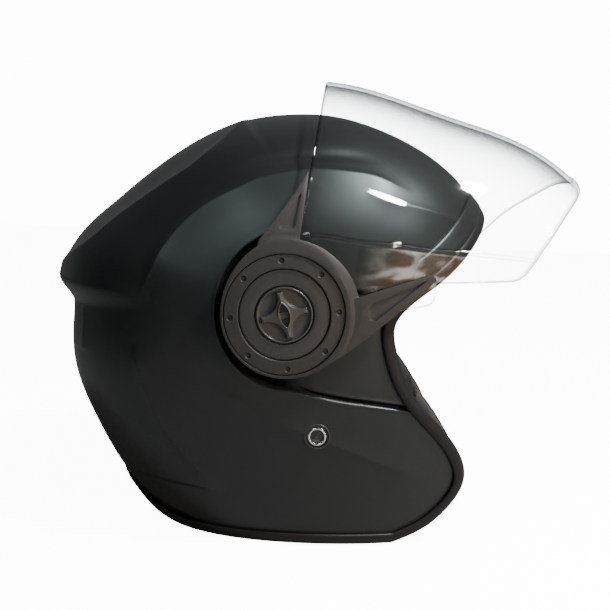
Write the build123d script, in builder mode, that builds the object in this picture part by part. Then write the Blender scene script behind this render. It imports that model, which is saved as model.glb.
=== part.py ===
from build123d import *
import os
from math import cos
from math import exp
from math import hypot
from math import radians
from math import sin

os.makedirs("parts", exist_ok=True)

# An open face motorcycle helmet with a bubble visor.
# Millimetres. The helmet faces +X, its right side faces -Y, +Z is up.
# The origin is the middle of the footprint, on the surface the helmet stands on.

# The hub line is the axis the visor turns on. It runs along Y.
HUB_X = -16.5
HUB_Z = 132.8
# The side outlines are drawn about the hub, tipped nose up by this angle.
PITCH = 3.0

# Radii of the side outline about the hub, every 15 degrees from straight ahead, turning upwards.
SHELL_RADII = [
    139.0, 132.6, 129.4, 123.7, 118.2, 115.1, 112.5, 111.9,
    111.9, 114.3, 122.0, 132.2, 132.8, 137.6, 139.7, 146.2,
    159.3, 181.0, 196.0, 200.0, 196.0, 186.0, 170.0, 152.0,
]
VISOR_RADII = [
    200.0, 199.0, 178.8, 153.1, 140.2, 135.6, 132.5, 131.0,
    130.0, 130.0, 130.0, 130.0, 130.0, 130.0, 130.0, 130.0,
    130.0, 130.0, 130.0, 135.0, 145.0, 160.0, 180.0, 195.0,
]
RADIUS_STEP = 15.0
SHELL_HALF_WIDTH = 118.0
VISOR_HALF_WIDTH = 124.0
# Sections of a bowl, as shares of its half width. The last ones close the flat by the hub.
SECTION_SHARES = [0.0, 0.26, 0.5, 0.68, 0.81, 0.9, 0.955, 0.985, 0.9915]

# How boxy the bowl is from front to back. The lower back of the shell is squarer.
FULLNESS = 2.4
EXTRA_FULLNESS = 0.5
SQUARE_ANGLE = 215.0
SQUARE_SPREAD = 35.0

# Layers, measured from the outside of the shell. Minus is inwards.
SHELL_THICKNESS = 4.0
LINER_OUTSIDE = -4.2
LINER_INSIDE = -26.0
PAD_GAP = 0.4
TRIM_OUTSIDE = 1.8
TRIM_INSIDE = -5.8
TRIM_WIDTH = 7.0
EDGE_INSET = 2.2
RIM_OUTSIDE = 1.6
RECESS_DEPTH = 2.2
CREST_HEIGHT = 2.0
TAIL_HEIGHT = 9.5
TAIL_HALF_WIDTH = 112.0

# Visor sheet and the side covers that lie on it.
VISOR_THICKNESS = 2.3
LIP_HEIGHT = 1.0
COVER_GAP = 0.05
COVER_OUTSIDE = 3.6
ARM_OUTSIDE = 2.8
POCKET_FLOOR = 1.6

# Hub stack on each side: radii, and distances from the middle of the helmet.
HUB_FLOOR = 115.0
BASE_RADIUS = 29.0
BASE_TOP = 118.3
BOSS_RADIUS = 18.95
BOSS_TOP = 123.3
VISOR_BORE = 19.0
BOLT_RADIUS = 4.0
BOLT_HEAD_RADIUS = 8.0
BOLT_HEAD_HEIGHT = 1.3
SOCKET_RADIUS = 2.5
SOCKET_DEPTH = 1.0
COUNTERBORE_RADIUS = 8.3
RATCHET_RADIUS = 26.0
RATCHET_NOTCHES = 4
NOTCH_RADIUS = 1.4
SPRING_OUTSIDE = 28.4
SPRING_INSIDE = 27.4
SPRING_SPREAD = 25.0
SPRING_HEIGHT = 1.8
COVER_RADIUS = 39.7
COVER_BACK_RADIUS = 33.4
COVER_SHOULDER_RADIUS = 35.7
COVER_LOW_RADIUS = 34.0
BEVEL_START = 110.0
BEVEL_WIDE = 81.6
BEVEL_NARROW = 30.3
BEVEL_HEIGHT = 18.0
RECESS_RADIUS = 38.0
COVER_BORE = 32.0
RING_RADIUS = 31.9
DISC_RADIUS = 23.9
KNOB_RADIUS = 14.9
KNOB_GAP = 0.5
KNOB_RIM_WIDTH = 1.3
DIMPLES = 8
DIMPLE_RADIUS = 1.5
DIMPLE_CIRCLE = 28.4
DIMPLE_START = 3.0
DIMPLE_DEPTH = 1.2

# Strap anchor rivet, in the side view about the hub.
RIVET_X = 17.2
RIVET_Z = -67.0
CUP_RADIUS = 7.0
RIVET_CAP_RADIUS = 5.4
RIVET_SHANK_RADIUS = 3.0

# Further distances from the middle of the helmet in the hub stack.
SHELL_SEAT = 112.9
BOLT_SEAT = 121.0
SCREW_SEAT = 117.0
VISOR_SEAT = 120.5
RING_START = 123.1
RING_TOP = 126.0
DISC_TOP = 125.4
KNOB_START = 123.5
KNOB_DISH = 125.0
KNOB_RIM = 126.3
KNOB_TOP = 127.6
NOTCH_START = 0.0
NOTCH_SPAN = 50.0

# Grip of the knob.
STAR_TILT = 13.0
STAR_TIP = 12.7
STAR_TIP_SPREAD = 9.0
STAR_WAIST = 6.6
SLOT_LENGTH = 12.4
SLOT_WIDTH = 5.0
SLOT_BAR = 3.8
SLOT_DEPTH = 1.2

# Distances from the middle of the helmet at the strap rivet.
CUP_START = 110.6
CUP_TOP = 115.4
CUP_FLOOR = 113.4
RIVET_TOP = 116.0
WASHER_START = 104.2
WASHER_THICKNESS = 1.2

# Three screws that hold each base plate.
SCREW_CIRCLE = 23.5
SCREW_START = 40.0
SCREW_RADIUS = 1.5
SCREW_HEAD_RADIUS = 2.9
SCREW_LENGTH = 4.0
CROSS_LENGTH = 3.4
CROSS_WIDTH = 0.8
CROSS_DEPTH = 0.6

# Nut of the hub bolt, inside the shell.
NUT_START = 106.0
NUT_RADIUS = 7.0

# Lining.
LINER_EDGE = 9.0
PAD_THICKNESS = 7.0
CHEEK_OUTSIDE = -8.0
CHEEK_INSIDE = -36.0

# Chin strap and its ratchet buckle.
STRAP_WIDTH = 20.0
STRAP_THICKNESS = 2.0
STRAP_LEVEL = -121.5
STRAP_TOP = -57.0
STRAP_OUTSIDE = -4.6
STRAP_TURN = 96.0
STRAP_BACK = RIVET_X - STRAP_WIDTH / 2
STRAP_FRONT = RIVET_X + STRAP_WIDTH / 2
BUCKLE_BACK = STRAP_BACK - 2.5
BUCKLE_WIDTH = STRAP_WIDTH + 5
BAR_RADIUS = 1.5
TONGUE_BAR = 31.0
HOUSING_BAR = 27.5
HOUSING_LOW = -125.2
HOUSING_HIGH = -113.0
HOUSING_FLOOR = 1.4
HOUSING_FRONT = -8.0
FLOOR_END = 22.0
WALL = 1.5
PIN_ACROSS = 18.0
PIN_HEIGHT = -116.5
PIN_RADIUS = 1.4
LEVER_BACK = 11.2
LEVER_WIDTH = 13.0
LEVER_LOW = -117.4
LEVER_TIP = -12.0
LEVER_THICKNESS = 1.6
LEVER_EYE = 3.0
COIL_RADIUS = 2.6
COIL_LENGTH = 2.6
PAWL_LEFT = 3.0
PAWL_RIGHT = 5.0
PAWL_DEPTH = 2.4
TONGUE_LOW = -122.3
TONGUE_THICKNESS = 1.6
TONGUE_TOP = TONGUE_LOW + TONGUE_THICKNESS
TONGUE_END = 12.0
CROSSBAR_START = -26.0
CROSSBAR_END = -23.0
TOOTH_START = -5.0
TOOTH_PITCH = 2.4
TOOTH_LENGTH = 1.1
TOOTH_HEIGHT = 0.7
TEETH = 5

# Edge of the shell in the side view about the hub: down the face opening, and round the nape.
OPENING_POINTS = [
    (122.0, 50.0), (105.0, 31.0), (86.0, 15.0), (68.0, 3.0), (59.0, -8.0), (59.4, -19.0),
    (70.5, -47.1), (85.4, -64.9), (97.5, -82.0), (101.8, -99.0), (93.0, -116.5), (79.0, -128.5),
    (60.0, -136.0),
]
NAPE_POINTS = [(-60.0, -129.8), (-79.0, -126.0), (-97.0, -116.0), (-135.0, -92.0)]
CHEEK_END = 60.0
NAPE_START = -60.0
FRONT_REACH = 135.0
BACK_REACH = 180.0
TOP_REACH = 160.0

# Side view outlines of the brow rim, the visor sheet and the thick lip round its front.
BROW_BAND = [
    (74, 23.5), (88, 37), (98.3, 44.6), (107.3, 51.1), (115.2, 57), (135, 70), (160, 60),
    (140, 30), (109, 35), (98, 26), (84, 13.5),
]
VISOR_OUTLINE = [
    (-20, 20), (-12, 32), (0, 50), (12.3, 74), (15.5, 85.7), (19.2, 104), (22.3, 122), (26, 126),
    (30, 150), (230, 150), (215, 95), (199, 85.5), (181, 74), (175, 66), (161.8, 54.2), (148.3, 40.2),
    (135.3, 26.1), (128.5, 18.5), (122, 15.5), (79.9, 15.5), (79, 6.6), (77, 4.2), (63, 1.6),
    (40, -10), (20, -22), (-10, -22),
]
LIP_OUTLINE = [
    (230, 110), (199, 85.5), (181, 74), (175, 66), (161.8, 54.2), (148.3, 40.2), (135.3, 26.1),
    (130, 20), (127, 24), (133, 31), (145, 44.5), (158.5, 58.5), (171.5, 70.5), (178, 78.5),
    (195, 91), (225, 116),
]

# Larger than the helmet in every direction.
REACH = 400.0
SIDE_REACH = 160.0


def side_plane(across):
    """Plane of the side view, with x forward and y up from the hub, at a distance across the helmet."""
    return Plane(
        origin=(HUB_X, across, HUB_Z),
        x_dir=(cos(radians(PITCH)), 0, sin(radians(PITCH))),
        z_dir=(0, -1, 0),
    )


def hub_plane(distance):
    """Plane square to the hub line on the right side, at a distance from the middle, facing outwards."""
    return side_plane(-distance)


def polar(radius, angle):
    """Point in the side view at a distance from the hub."""
    return radius * cos(radians(angle)), radius * sin(radians(angle))


def cross_plane(forward):
    """Plane across the helmet, with x towards the wearer's left and y up, forward of the hub."""
    return Plane(
        origin=(
            HUB_X + forward * cos(radians(PITCH)),
            0,
            HUB_Z + forward * sin(radians(PITCH)),
        ),
        x_dir=(0, 1, 0),
        z_dir=(cos(radians(PITCH)), 0, sin(radians(PITCH))),
    )


def floor_height(forward):
    """Height of the standing surface in the side view."""
    return -(HUB_Z + forward * sin(radians(PITCH))) / cos(radians(PITCH))


def shell_fullness(angle):
    away = (angle - SQUARE_ANGLE + 180) % 360 - 180
    return FULLNESS + EXTRA_FULLNESS * exp(-((away / SQUARE_SPREAD) ** 2))


def visor_fullness(angle):
    return FULLNESS


def bowl_section(radii, fullness, grow, share):
    """Points of one slice of a bowl, shrinking towards the side."""
    points = []
    for index, radius in enumerate(radii):
        angle = index * RADIUS_STEP
        power = fullness(angle)
        reach = (radius + grow) * (1 - abs(share) ** power) ** (1 / power)
        points.append(polar(reach, angle))
    return points


def bowl(radii, half_width, fullness, grow):
    """Closed smooth form whose slices parallel to the mid plane are scaled side outlines."""
    shares = [-share for share in reversed(SECTION_SHARES[1:])] + SECTION_SHARES
    with BuildPart() as form:
        for share in shares:
            with BuildSketch(side_plane(share * (half_width + grow))):
                with BuildLine():
                    Spline(*bowl_section(radii, fullness, grow, share), periodic=True)
                make_face()
        loft()
    return form.part


def shell_bowl(grow):
    return bowl(SHELL_RADII, SHELL_HALF_WIDTH, shell_fullness, grow)


def visor_bowl(grow):
    return bowl(VISOR_RADII, VISOR_HALF_WIDTH, visor_fullness, grow)


def moved_inwards(points, inset):
    """The same open line of points, moved sideways to its right by the inset."""
    moved = []
    last = len(points) - 1
    for index, point in enumerate(points):
        before = points[max(index - 1, 0)]
        after = points[min(index + 1, last)]
        run = after[0] - before[0]
        rise = after[1] - before[1]
        length = hypot(run, rise)
        moved.append((point[0] + inset * rise / length, point[1] - inset * run / length))
    return moved


def edge_outline(inset):
    """Side outline of everything behind the face opening and above the lower edge, in an open sketch."""
    opening = moved_inwards(OPENING_POINTS, inset)
    base = [(CHEEK_END, floor_height(CHEEK_END)), (NAPE_START, floor_height(NAPE_START))]
    base = moved_inwards(base, inset)
    nape = moved_inwards(NAPE_POINTS, inset)
    opening[-1] = base[0]
    nape[0] = base[1]
    with BuildLine() as line:
        Line((FRONT_REACH, TOP_REACH), (FRONT_REACH, opening[0][1]))
        Line((FRONT_REACH, opening[0][1]), opening[0])
        Spline(*opening)
        Line(base[0], base[1])
        Spline(*nape)
        Line(nape[-1], (-BACK_REACH, nape[-1][1]))
        Line((-BACK_REACH, nape[-1][1]), (-BACK_REACH, TOP_REACH))
        Line((-BACK_REACH, TOP_REACH), (FRONT_REACH, TOP_REACH))
    make_face(line.edges())


def cut_to_edge(inset):
    """Keep only what lies inside the edge outline."""
    with BuildSketch(side_plane(0)) as outline:
        edge_outline(inset)
    extrude(outline.sketch, amount=SIDE_REACH, both=True, mode=Mode.INTERSECT)


def cut_to_outline(*points):
    """Keep only what lies inside a side view polygon."""
    with BuildSketch(side_plane(0)) as outline:
        with BuildLine():
            Polyline(*points, close=True)
        make_face()
    extrude(outline.sketch, amount=SIDE_REACH, both=True, mode=Mode.INTERSECT)


def keep_right():
    """Keep only the wearer's right half."""
    with BuildSketch(side_plane(0)) as half:
        Rectangle(REACH, REACH)
    extrude(half.sketch, amount=SIDE_REACH, mode=Mode.INTERSECT)


def save(piece, name):
    piece.label = name
    export_step(piece, f"parts/{name}.step")


def save_pair(right, name):
    """Write the right hand piece and its mirror image."""
    save(right, f"{name}_right")
    with BuildPart() as left:
        mirror(right, about=Plane.XZ)
    save(left.part, f"{name}_left")


shell_outside = shell_bowl(0)
shell_inside = shell_bowl(-SHELL_THICKNESS)
recess_floor = shell_bowl(-RECESS_DEPTH)
crest_form = shell_bowl(CREST_HEIGHT)
trim_outside = shell_bowl(TRIM_OUTSIDE)
trim_inside = shell_bowl(TRIM_INSIDE)
rim_outside = shell_bowl(RIM_OUTSIDE)
liner_outside = shell_bowl(LINER_OUTSIDE)
liner_inside = shell_bowl(LINER_INSIDE)

# Shell ------------------------------------------------------------------

# Raised panel over the crown and down the back, ending in a ducktail.
with BuildPart() as crest:
    add(crest_form)
    cut_to_outline(
        (-12, 104), (-30, 88), (-56, 76), (-78, 61), (-100, 45), (-118, 30), (-128, 18),
        (-160, 22), (-160, 150), (-12, 150),
    )

# Ducktail: a lip across the back that stands proud of the bowl and fades out at the sides.
with BuildPart() as ducktail:
    tail_radii = [radius + TAIL_HEIGHT for radius in SHELL_RADII]
    add(bowl(tail_radii, TAIL_HALF_WIDTH, shell_fullness, 0))
    cut_to_outline(
        (-60, 54), (-102, 54), (-119, 41), (-141, 18.5), (-141.5, 14), (-127, 4), (-112, 3),
        (-98, 1), (-84, -3), (-60, -3),
    )

# Step that clears the side cover and its front arm, and the flat seat and bores of the hub.
with BuildPart() as hub_recess:
    with BuildSketch(side_plane(0)):
        with BuildLine():
            ThreePointArc((-8, 42.6), (-37, 0.7), (5.3, -42.6))
            Spline((5.3, -42.6), (19.2, -45.9), (39.5, -49.9), (62.6, -53.9), (84, -58))
            Polyline((84, -58), (84, 11), polar(RECESS_RADIUS, 20))
            ThreePointArc(polar(RECESS_RADIUS, 20), polar(RECESS_RADIUS, 60), polar(RECESS_RADIUS, 100))
            Line(polar(RECESS_RADIUS, 100), (-8, 42.6))
        make_face()
    extrude(amount=SIDE_REACH, both=True)
    add(recess_floor, mode=Mode.SUBTRACT)

with BuildPart() as outer_shell:
    add(shell_outside)
    add(crest.part)
    add(ducktail.part)
    add(hub_recess.part, mode=Mode.SUBTRACT)
    add(shell_inside, mode=Mode.SUBTRACT)
    cut_to_edge(EDGE_INSET)
    for side in (-1, 1):
        # Flat seat for the base plate.
        with BuildSketch(side_plane(side * HUB_FLOOR)):
            Circle(BASE_RADIUS + 0.5)
        extrude(amount=-side * 10, mode=Mode.SUBTRACT)
        # Bores for the hub bolt, the three screws and the strap rivet.
        with BuildSketch(side_plane(side * 90)):
            Circle(BOLT_RADIUS + 0.1)
            with PolarLocations(SCREW_CIRCLE, 3, SCREW_START):
                Circle(SCREW_RADIUS + 0.1)
            with Locations((RIVET_X, RIVET_Z)):
                Circle(CUP_RADIUS + 0.1)
        extrude(amount=-side * 40, mode=Mode.SUBTRACT)
outer_shell.part.label = "outer_shell"
export_step(outer_shell.part, "parts/outer_shell.step")

# Brow rim: a separate moulded lip over the front edge of the shell.
with BuildPart() as brow_rim:
    add(rim_outside)
    add(shell_bowl(COVER_GAP), mode=Mode.SUBTRACT)
    cut_to_outline(*BROW_BAND)
    cut_to_edge(EDGE_INSET)
brow_rim.part.label = "brow_rim"
export_step(brow_rim.part, "parts/brow_rim.step")

# Edge trim: a rubber channel round the whole edge, flat underneath where the helmet stands.
with BuildPart() as edge_trim:
    add(trim_outside)
    add(trim_inside, mode=Mode.SUBTRACT)
    cut_to_edge(0)
    with BuildSketch(side_plane(0)):
        edge_outline(TRIM_WIDTH)
    extrude(amount=SIDE_REACH, both=True, mode=Mode.SUBTRACT)
    add(outer_shell.part, mode=Mode.SUBTRACT)
    add(brow_rim.part, mode=Mode.SUBTRACT)
edge_trim.part.label = "edge_trim"
export_step(edge_trim.part, "parts/edge_trim.step")

# Lining ------------------------------------------------------------------

with BuildPart() as liner_layer:
    add(liner_outside)
    add(liner_inside, mode=Mode.SUBTRACT)

with BuildPart() as eps_liner:
    add(liner_layer.part)
    cut_to_edge(LINER_EDGE)
    cut_to_outline(
        (135, 160), (135, -56), (-15, -56), (-15, -95), (-175, -95), (-175, 160),
    )
    for side in (-1, 1):
        with BuildSketch(side_plane(side * NUT_START)):
            Circle(NUT_RADIUS + 2)
        extrude(amount=-side * 10, mode=Mode.SUBTRACT)
eps_liner.part.label = "eps_liner"
export_step(eps_liner.part, "parts/eps_liner.step")

pad_outside = shell_bowl(LINER_INSIDE - PAD_GAP)
pad_inside = shell_bowl(LINER_INSIDE - PAD_GAP - PAD_THICKNESS)
with BuildPart() as pad_layer:
    add(pad_outside)
    add(pad_inside, mode=Mode.SUBTRACT)

with BuildPart() as crown_pad:
    add(pad_layer.part)
    cut_to_outline((-160, 32), (34, 32), (34, 150), (-160, 150))
crown_pad.part.label = "crown_pad"
export_step(crown_pad.part, "parts/crown_pad.step")

with BuildPart() as brow_pad:
    add(pad_layer.part)
    cut_to_outline((37, 28), (62, 28), (110, 62), (110, 100), (37, 60))
brow_pad.part.label = "brow_pad"
export_step(brow_pad.part, "parts/brow_pad.step")

with BuildPart() as neck_roll:
    add(liner_layer.part)
    cut_to_edge(LINER_EDGE)
    cut_to_outline((-17, -140), (-17, -97), (-160, -97), (-160, -140))
neck_roll.part.label = "neck_roll"
export_step(neck_roll.part, "parts/neck_roll.step")

# Temple pads wrap the front end of the liner on each side.
with BuildPart() as temple_pad_right:
    add(pad_layer.part)
    cut_to_outline(
        (12, -54), (12, 20), (46, 20), (61, 2), (61.5, -12), (62, -20), (67, -27.8), (73, -42.2), (60, -54)
    )
    keep_right()
save_pair(temple_pad_right.part, "temple_pad")

with BuildPart() as cheek_pad_right:
    add(shell_bowl(CHEEK_OUTSIDE))
    add(shell_bowl(CHEEK_INSIDE), mode=Mode.SUBTRACT)
    cut_to_outline(
        (-12, -59), (71.5, -59), (73.8, -43.8), (80, -50.5), (87, -60.5), (97, -78), (99, -86), (94, -100),
        (86, -114), (76, -121), (60, -124), (31, -124), (31, -117), (3, -117), (3, -122), (-12, -122),
    )
    keep_right()
    # Hollow for the washer of the strap rivet.
    with BuildSketch(side_plane(-WASHER_START + 1.6)) as washer_hollow:
        with Locations((RIVET_X, RIVET_Z)):
            Circle(CUP_RADIUS + 1)
    extrude(washer_hollow.sketch, amount=20, mode=Mode.SUBTRACT)
save_pair(cheek_pad_right.part, "cheek_pad")

# Visor and side covers -----------------------------------------------------

visor_inside = visor_bowl(-VISOR_THICKNESS)
with BuildPart() as visor_lip:
    add(visor_bowl(LIP_HEIGHT))
    cut_to_outline(*LIP_OUTLINE)

with BuildPart() as visor:
    add(visor_bowl(0))
    add(visor_lip.part)
    add(visor_inside, mode=Mode.SUBTRACT)
    cut_to_outline(*VISOR_OUTLINE)
    with BuildSketch(side_plane(0)) as bore:
        Circle(VISOR_BORE)
    extrude(bore.sketch, amount=SIDE_REACH, both=True, mode=Mode.SUBTRACT)
visor.part.label = "visor"
export_step(visor.part, "parts/visor.step")

cover_outside = visor_bowl(COVER_OUTSIDE)
cover_inside = visor_bowl(COVER_GAP)
pocket_floor = visor_bowl(POCKET_FLOOR)

# Recessed panels in the two arms.
with BuildPart() as cover_pockets:
    with BuildSketch(side_plane(0)):
        with BuildLine():
            Polyline((8.9, 63.2), (-3.2, 46), (-2.4, 44.6), (4.6, 44.6), (5.6, 45.6), close=True)
        make_face()
        with BuildLine():
            Polyline((44, 4), (45.8, 6), (74.8, 17.8), (47, -3.4), (44.3, -2.6), close=True)
        make_face()
    extrude(amount=SIDE_REACH, both=True)
    add(pocket_floor, mode=Mode.SUBTRACT)

# Round plate of the cover, bevelled in front and trimmed close to the dimpled ring behind and below.
with BuildPart() as cover_plate:
    add(cover_outside)
    add(cover_inside, mode=Mode.SUBTRACT)
    with BuildSketch(side_plane(0)) as plate_face:
        with BuildLine():
            front_low = polar(COVER_RADIUS, -28)
            front_high = polar(COVER_RADIUS, 102)
            back = polar(COVER_BACK_RADIUS, 175)
            low = polar(COVER_LOW_RADIUS, -55)
            ThreePointArc(front_low, polar(COVER_RADIUS, 37), front_high)
            ThreePointArc(front_high, polar(COVER_SHOULDER_RADIUS, 133), back)
            ThreePointArc(back, polar(COVER_BACK_RADIUS, -120), low)
            Line(low, front_low)
        make_face()
    extrude(plate_face.sketch, amount=SIDE_REACH, mode=Mode.INTERSECT)
    with Locations(hub_plane(BEVEL_START)):
        Cone(
            BEVEL_WIDE, BEVEL_NARROW, BEVEL_HEIGHT,
            align=(Align.CENTER, Align.CENTER, Align.MIN), mode=Mode.INTERSECT,
        )

# The plate with one arm up the back edge of the visor and one along its lower edge.
with BuildPart() as side_cover_right:
    add(visor_bowl(ARM_OUTSIDE))
    add(cover_inside, mode=Mode.SUBTRACT)
    with BuildSketch(side_plane(0)) as arms:
        with BuildLine():
            Polyline((-15, 33), (-13.1, 38.8), (-6.8, 46.5), (-0.9, 54.5), (5.5, 63.2), (12.4, 74.2),
                     (11.9, 67), (9.4, 48.5), (8, 39.5), (8, 30), close=True)
        make_face()
        with BuildLine():
            Polyline((34, 8), (38.1, 9), (59.9, 15.6), (77.8, 20.6), (79.4, 17.4), (59, 0.3),
                     (34.9, -18.5), (30, -19), close=True)
        make_face()
    extrude(arms.sketch, amount=SIDE_REACH, mode=Mode.INTERSECT)
    add(cover_pockets.part, mode=Mode.SUBTRACT)
    add(cover_plate.part)
    with BuildSketch(side_plane(0)) as bore:
        Circle(COVER_BORE)
    extrude(bore.sketch, amount=SIDE_REACH, mode=Mode.SUBTRACT)
save_pair(side_cover_right.part, "side_cover")

# Hub stack, right hand side ------------------------------------------------


# Dimpled ring inside the cover.
with BuildPart() as cover_ring_right:
    with BuildSketch(hub_plane(RING_START)):
        Circle(RING_RADIUS)
        Circle(DISC_RADIUS + 0.05, mode=Mode.SUBTRACT)
    extrude(amount=RING_TOP - RING_START)
    with BuildSketch(hub_plane(RING_TOP)):
        with PolarLocations(DIMPLE_CIRCLE, DIMPLES, DIMPLE_START):
            Circle(DIMPLE_RADIUS)
    extrude(amount=-DIMPLE_DEPTH, mode=Mode.SUBTRACT)
save_pair(cover_ring_right.part, "cover_ring")

# Collar that keeps the visor on the boss.
with BuildPart() as inner_disc_right:
    with BuildSketch(hub_plane(RING_START + 0.3)):
        Circle(DISC_RADIUS)
        Circle(KNOB_RADIUS + KNOB_GAP, mode=Mode.SUBTRACT)
    extrude(amount=DISC_TOP - RING_START - 0.3)
save_pair(inner_disc_right.part, "inner_disc")

# Fixed base plate with the boss the visor turns on.
with BuildPart() as base_plate_right:
    with BuildSketch(hub_plane(HUB_FLOOR + 0.05)):
        Circle(BASE_RADIUS)
    extrude(amount=BASE_TOP - HUB_FLOOR - 0.05)
    with BuildSketch(hub_plane(BASE_TOP)):
        Circle(BOSS_RADIUS)
    extrude(amount=BOSS_TOP - BASE_TOP)
    with BuildSketch(hub_plane(BOLT_SEAT)):
        Circle(COUNTERBORE_RADIUS)
    extrude(amount=BOSS_TOP - BOLT_SEAT, mode=Mode.SUBTRACT)
    with BuildSketch(hub_plane(HUB_FLOOR)):
        Circle(BOLT_RADIUS + 0.1)
        with PolarLocations(SCREW_CIRCLE, 3, SCREW_START):
            Circle(SCREW_RADIUS + 0.1)
    extrude(amount=BOSS_TOP - HUB_FLOOR, mode=Mode.SUBTRACT)
    with BuildSketch(hub_plane(SCREW_SEAT)):
        with PolarLocations(SCREW_CIRCLE, 3, SCREW_START):
            Circle(SCREW_HEAD_RADIUS + 0.1)
    extrude(amount=BASE_TOP - SCREW_SEAT, mode=Mode.SUBTRACT)
save_pair(base_plate_right.part, "base_plate")

with BuildPart() as base_screws_right:
    with BuildSketch(hub_plane(SCREW_SEAT)):
        with PolarLocations(SCREW_CIRCLE, 3, SCREW_START):
            Circle(SCREW_HEAD_RADIUS)
    extrude(amount=BASE_TOP - SCREW_SEAT - 0.1)
    with BuildSketch(hub_plane(SCREW_SEAT)):
        with PolarLocations(SCREW_CIRCLE, 3, SCREW_START):
            Circle(SCREW_RADIUS)
    extrude(amount=-SCREW_LENGTH)
    with BuildSketch(hub_plane(BASE_TOP - 0.1)):
        with PolarLocations(SCREW_CIRCLE, 3, SCREW_START):
            Rectangle(CROSS_LENGTH, CROSS_WIDTH)
            Rectangle(CROSS_WIDTH, CROSS_LENGTH)
    extrude(amount=-CROSS_DEPTH, mode=Mode.SUBTRACT)
save_pair(base_screws_right.part, "base_screws")

# Bolt through the hub and its nut inside the shell.
with BuildPart() as hub_bolt_right:
    with BuildSketch(hub_plane(BOLT_SEAT)):
        Circle(BOLT_HEAD_RADIUS)
    extrude(amount=BOLT_HEAD_HEIGHT)
    with BuildSketch(hub_plane(BOLT_SEAT)):
        Circle(BOLT_RADIUS)
    extrude(amount=NUT_START + 0.5 - BOLT_SEAT)
    with BuildSketch(hub_plane(BOLT_SEAT + BOLT_HEAD_HEIGHT)):
        RegularPolygon(SOCKET_RADIUS, 6)
    extrude(amount=-SOCKET_DEPTH, mode=Mode.SUBTRACT)
save_pair(hub_bolt_right.part, "hub_bolt")

with BuildPart() as hub_nut_right:
    with BuildSketch(hub_plane(NUT_START)):
        RegularPolygon(NUT_RADIUS, 6)
        Circle(BOLT_RADIUS + 0.05, mode=Mode.SUBTRACT)
    extrude(amount=SHELL_SEAT - NUT_START)
save_pair(hub_nut_right.part, "hub_nut")

# Notched ring fixed inside the visor, and the leaf that clicks into its notches.
with BuildPart() as ratchet_plate_right:
    with BuildSketch(hub_plane(BASE_TOP + 0.2)):
        Circle(RATCHET_RADIUS)
        Circle(BOSS_RADIUS + 0.15, mode=Mode.SUBTRACT)
        with PolarLocations(RATCHET_RADIUS + 0.6, RATCHET_NOTCHES, NOTCH_START, NOTCH_SPAN):
            Circle(NOTCH_RADIUS, mode=Mode.SUBTRACT)
    extrude(amount=VISOR_SEAT - BASE_TOP - 0.2)
save_pair(ratchet_plate_right.part, "ratchet_plate")

with BuildPart() as click_spring_right:
    with BuildSketch(hub_plane(BASE_TOP + 0.02)):
        with BuildLine():
            CenterArc((0, 0), SPRING_OUTSIDE, -SPRING_SPREAD, 2 * SPRING_SPREAD)
            Line(polar(SPRING_OUTSIDE, SPRING_SPREAD), polar(SPRING_INSIDE, SPRING_SPREAD))
            CenterArc((0, 0), SPRING_INSIDE, SPRING_SPREAD, -2 * SPRING_SPREAD)
            Line(polar(SPRING_INSIDE, -SPRING_SPREAD), polar(SPRING_OUTSIDE, -SPRING_SPREAD))
        make_face()
        with Locations((SPRING_INSIDE - 0.4, 0)):
            Circle(0.8)
    extrude(amount=SPRING_HEIGHT)
save_pair(click_spring_right.part, "click_spring")

# Quick release knob: a dished disc with a raised four pointed grip.
with BuildPart() as lock_knob_right:
    with BuildSketch(hub_plane(KNOB_START)):
        Circle(KNOB_RADIUS)
    extrude(amount=KNOB_DISH - KNOB_START)
    with BuildSketch(hub_plane(KNOB_DISH)):
        Circle(KNOB_RADIUS)
        Circle(KNOB_RADIUS - KNOB_RIM_WIDTH, mode=Mode.SUBTRACT)
    extrude(amount=KNOB_RIM - KNOB_DISH)
    with BuildSketch(hub_plane(KNOB_DISH)):
        with BuildLine():
            for quarter in range(4):
                tip = STAR_TILT + 90 * quarter
                finish = polar(STAR_TIP, tip + STAR_TIP_SPREAD)
                Line(polar(STAR_TIP, tip - STAR_TIP_SPREAD), finish)
                following = polar(STAR_TIP, tip + 90 - STAR_TIP_SPREAD)
                ThreePointArc(finish, polar(STAR_WAIST, tip + 45), following)
        make_face()
    extrude(amount=KNOB_TOP - KNOB_DISH)
    with BuildSketch(hub_plane(KNOB_TOP)):
        with Locations(Location((0, 0, 0), (0, 0, STAR_TILT))):
            Ellipse(SLOT_WIDTH / 2, SLOT_LENGTH / 2)
            Rectangle(SLOT_WIDTH + 1, SLOT_BAR, mode=Mode.SUBTRACT)
    extrude(amount=-SLOT_DEPTH, mode=Mode.SUBTRACT)
    with BuildSketch(hub_plane(KNOB_START)):
        Circle(BOLT_HEAD_RADIUS - 1)
    extrude(amount=BOLT_SEAT + 1.6 - KNOB_START)
save_pair(lock_knob_right.part, "lock_knob")

# Chin strap ----------------------------------------------------------------

with BuildPart() as rivet_cup_right:
    with BuildSketch(hub_plane(CUP_START)):
        with Locations((RIVET_X, RIVET_Z)):
            Circle(CUP_RADIUS)
            Circle(RIVET_SHANK_RADIUS + 0.05, mode=Mode.SUBTRACT)
    extrude(amount=CUP_TOP - CUP_START)
    with BuildSketch(hub_plane(CUP_TOP)):
        with Locations((RIVET_X, RIVET_Z)):
            Circle(RIVET_CAP_RADIUS + 0.1)
    extrude(amount=CUP_FLOOR - CUP_TOP, mode=Mode.SUBTRACT)
save_pair(rivet_cup_right.part, "rivet_cup")

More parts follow.
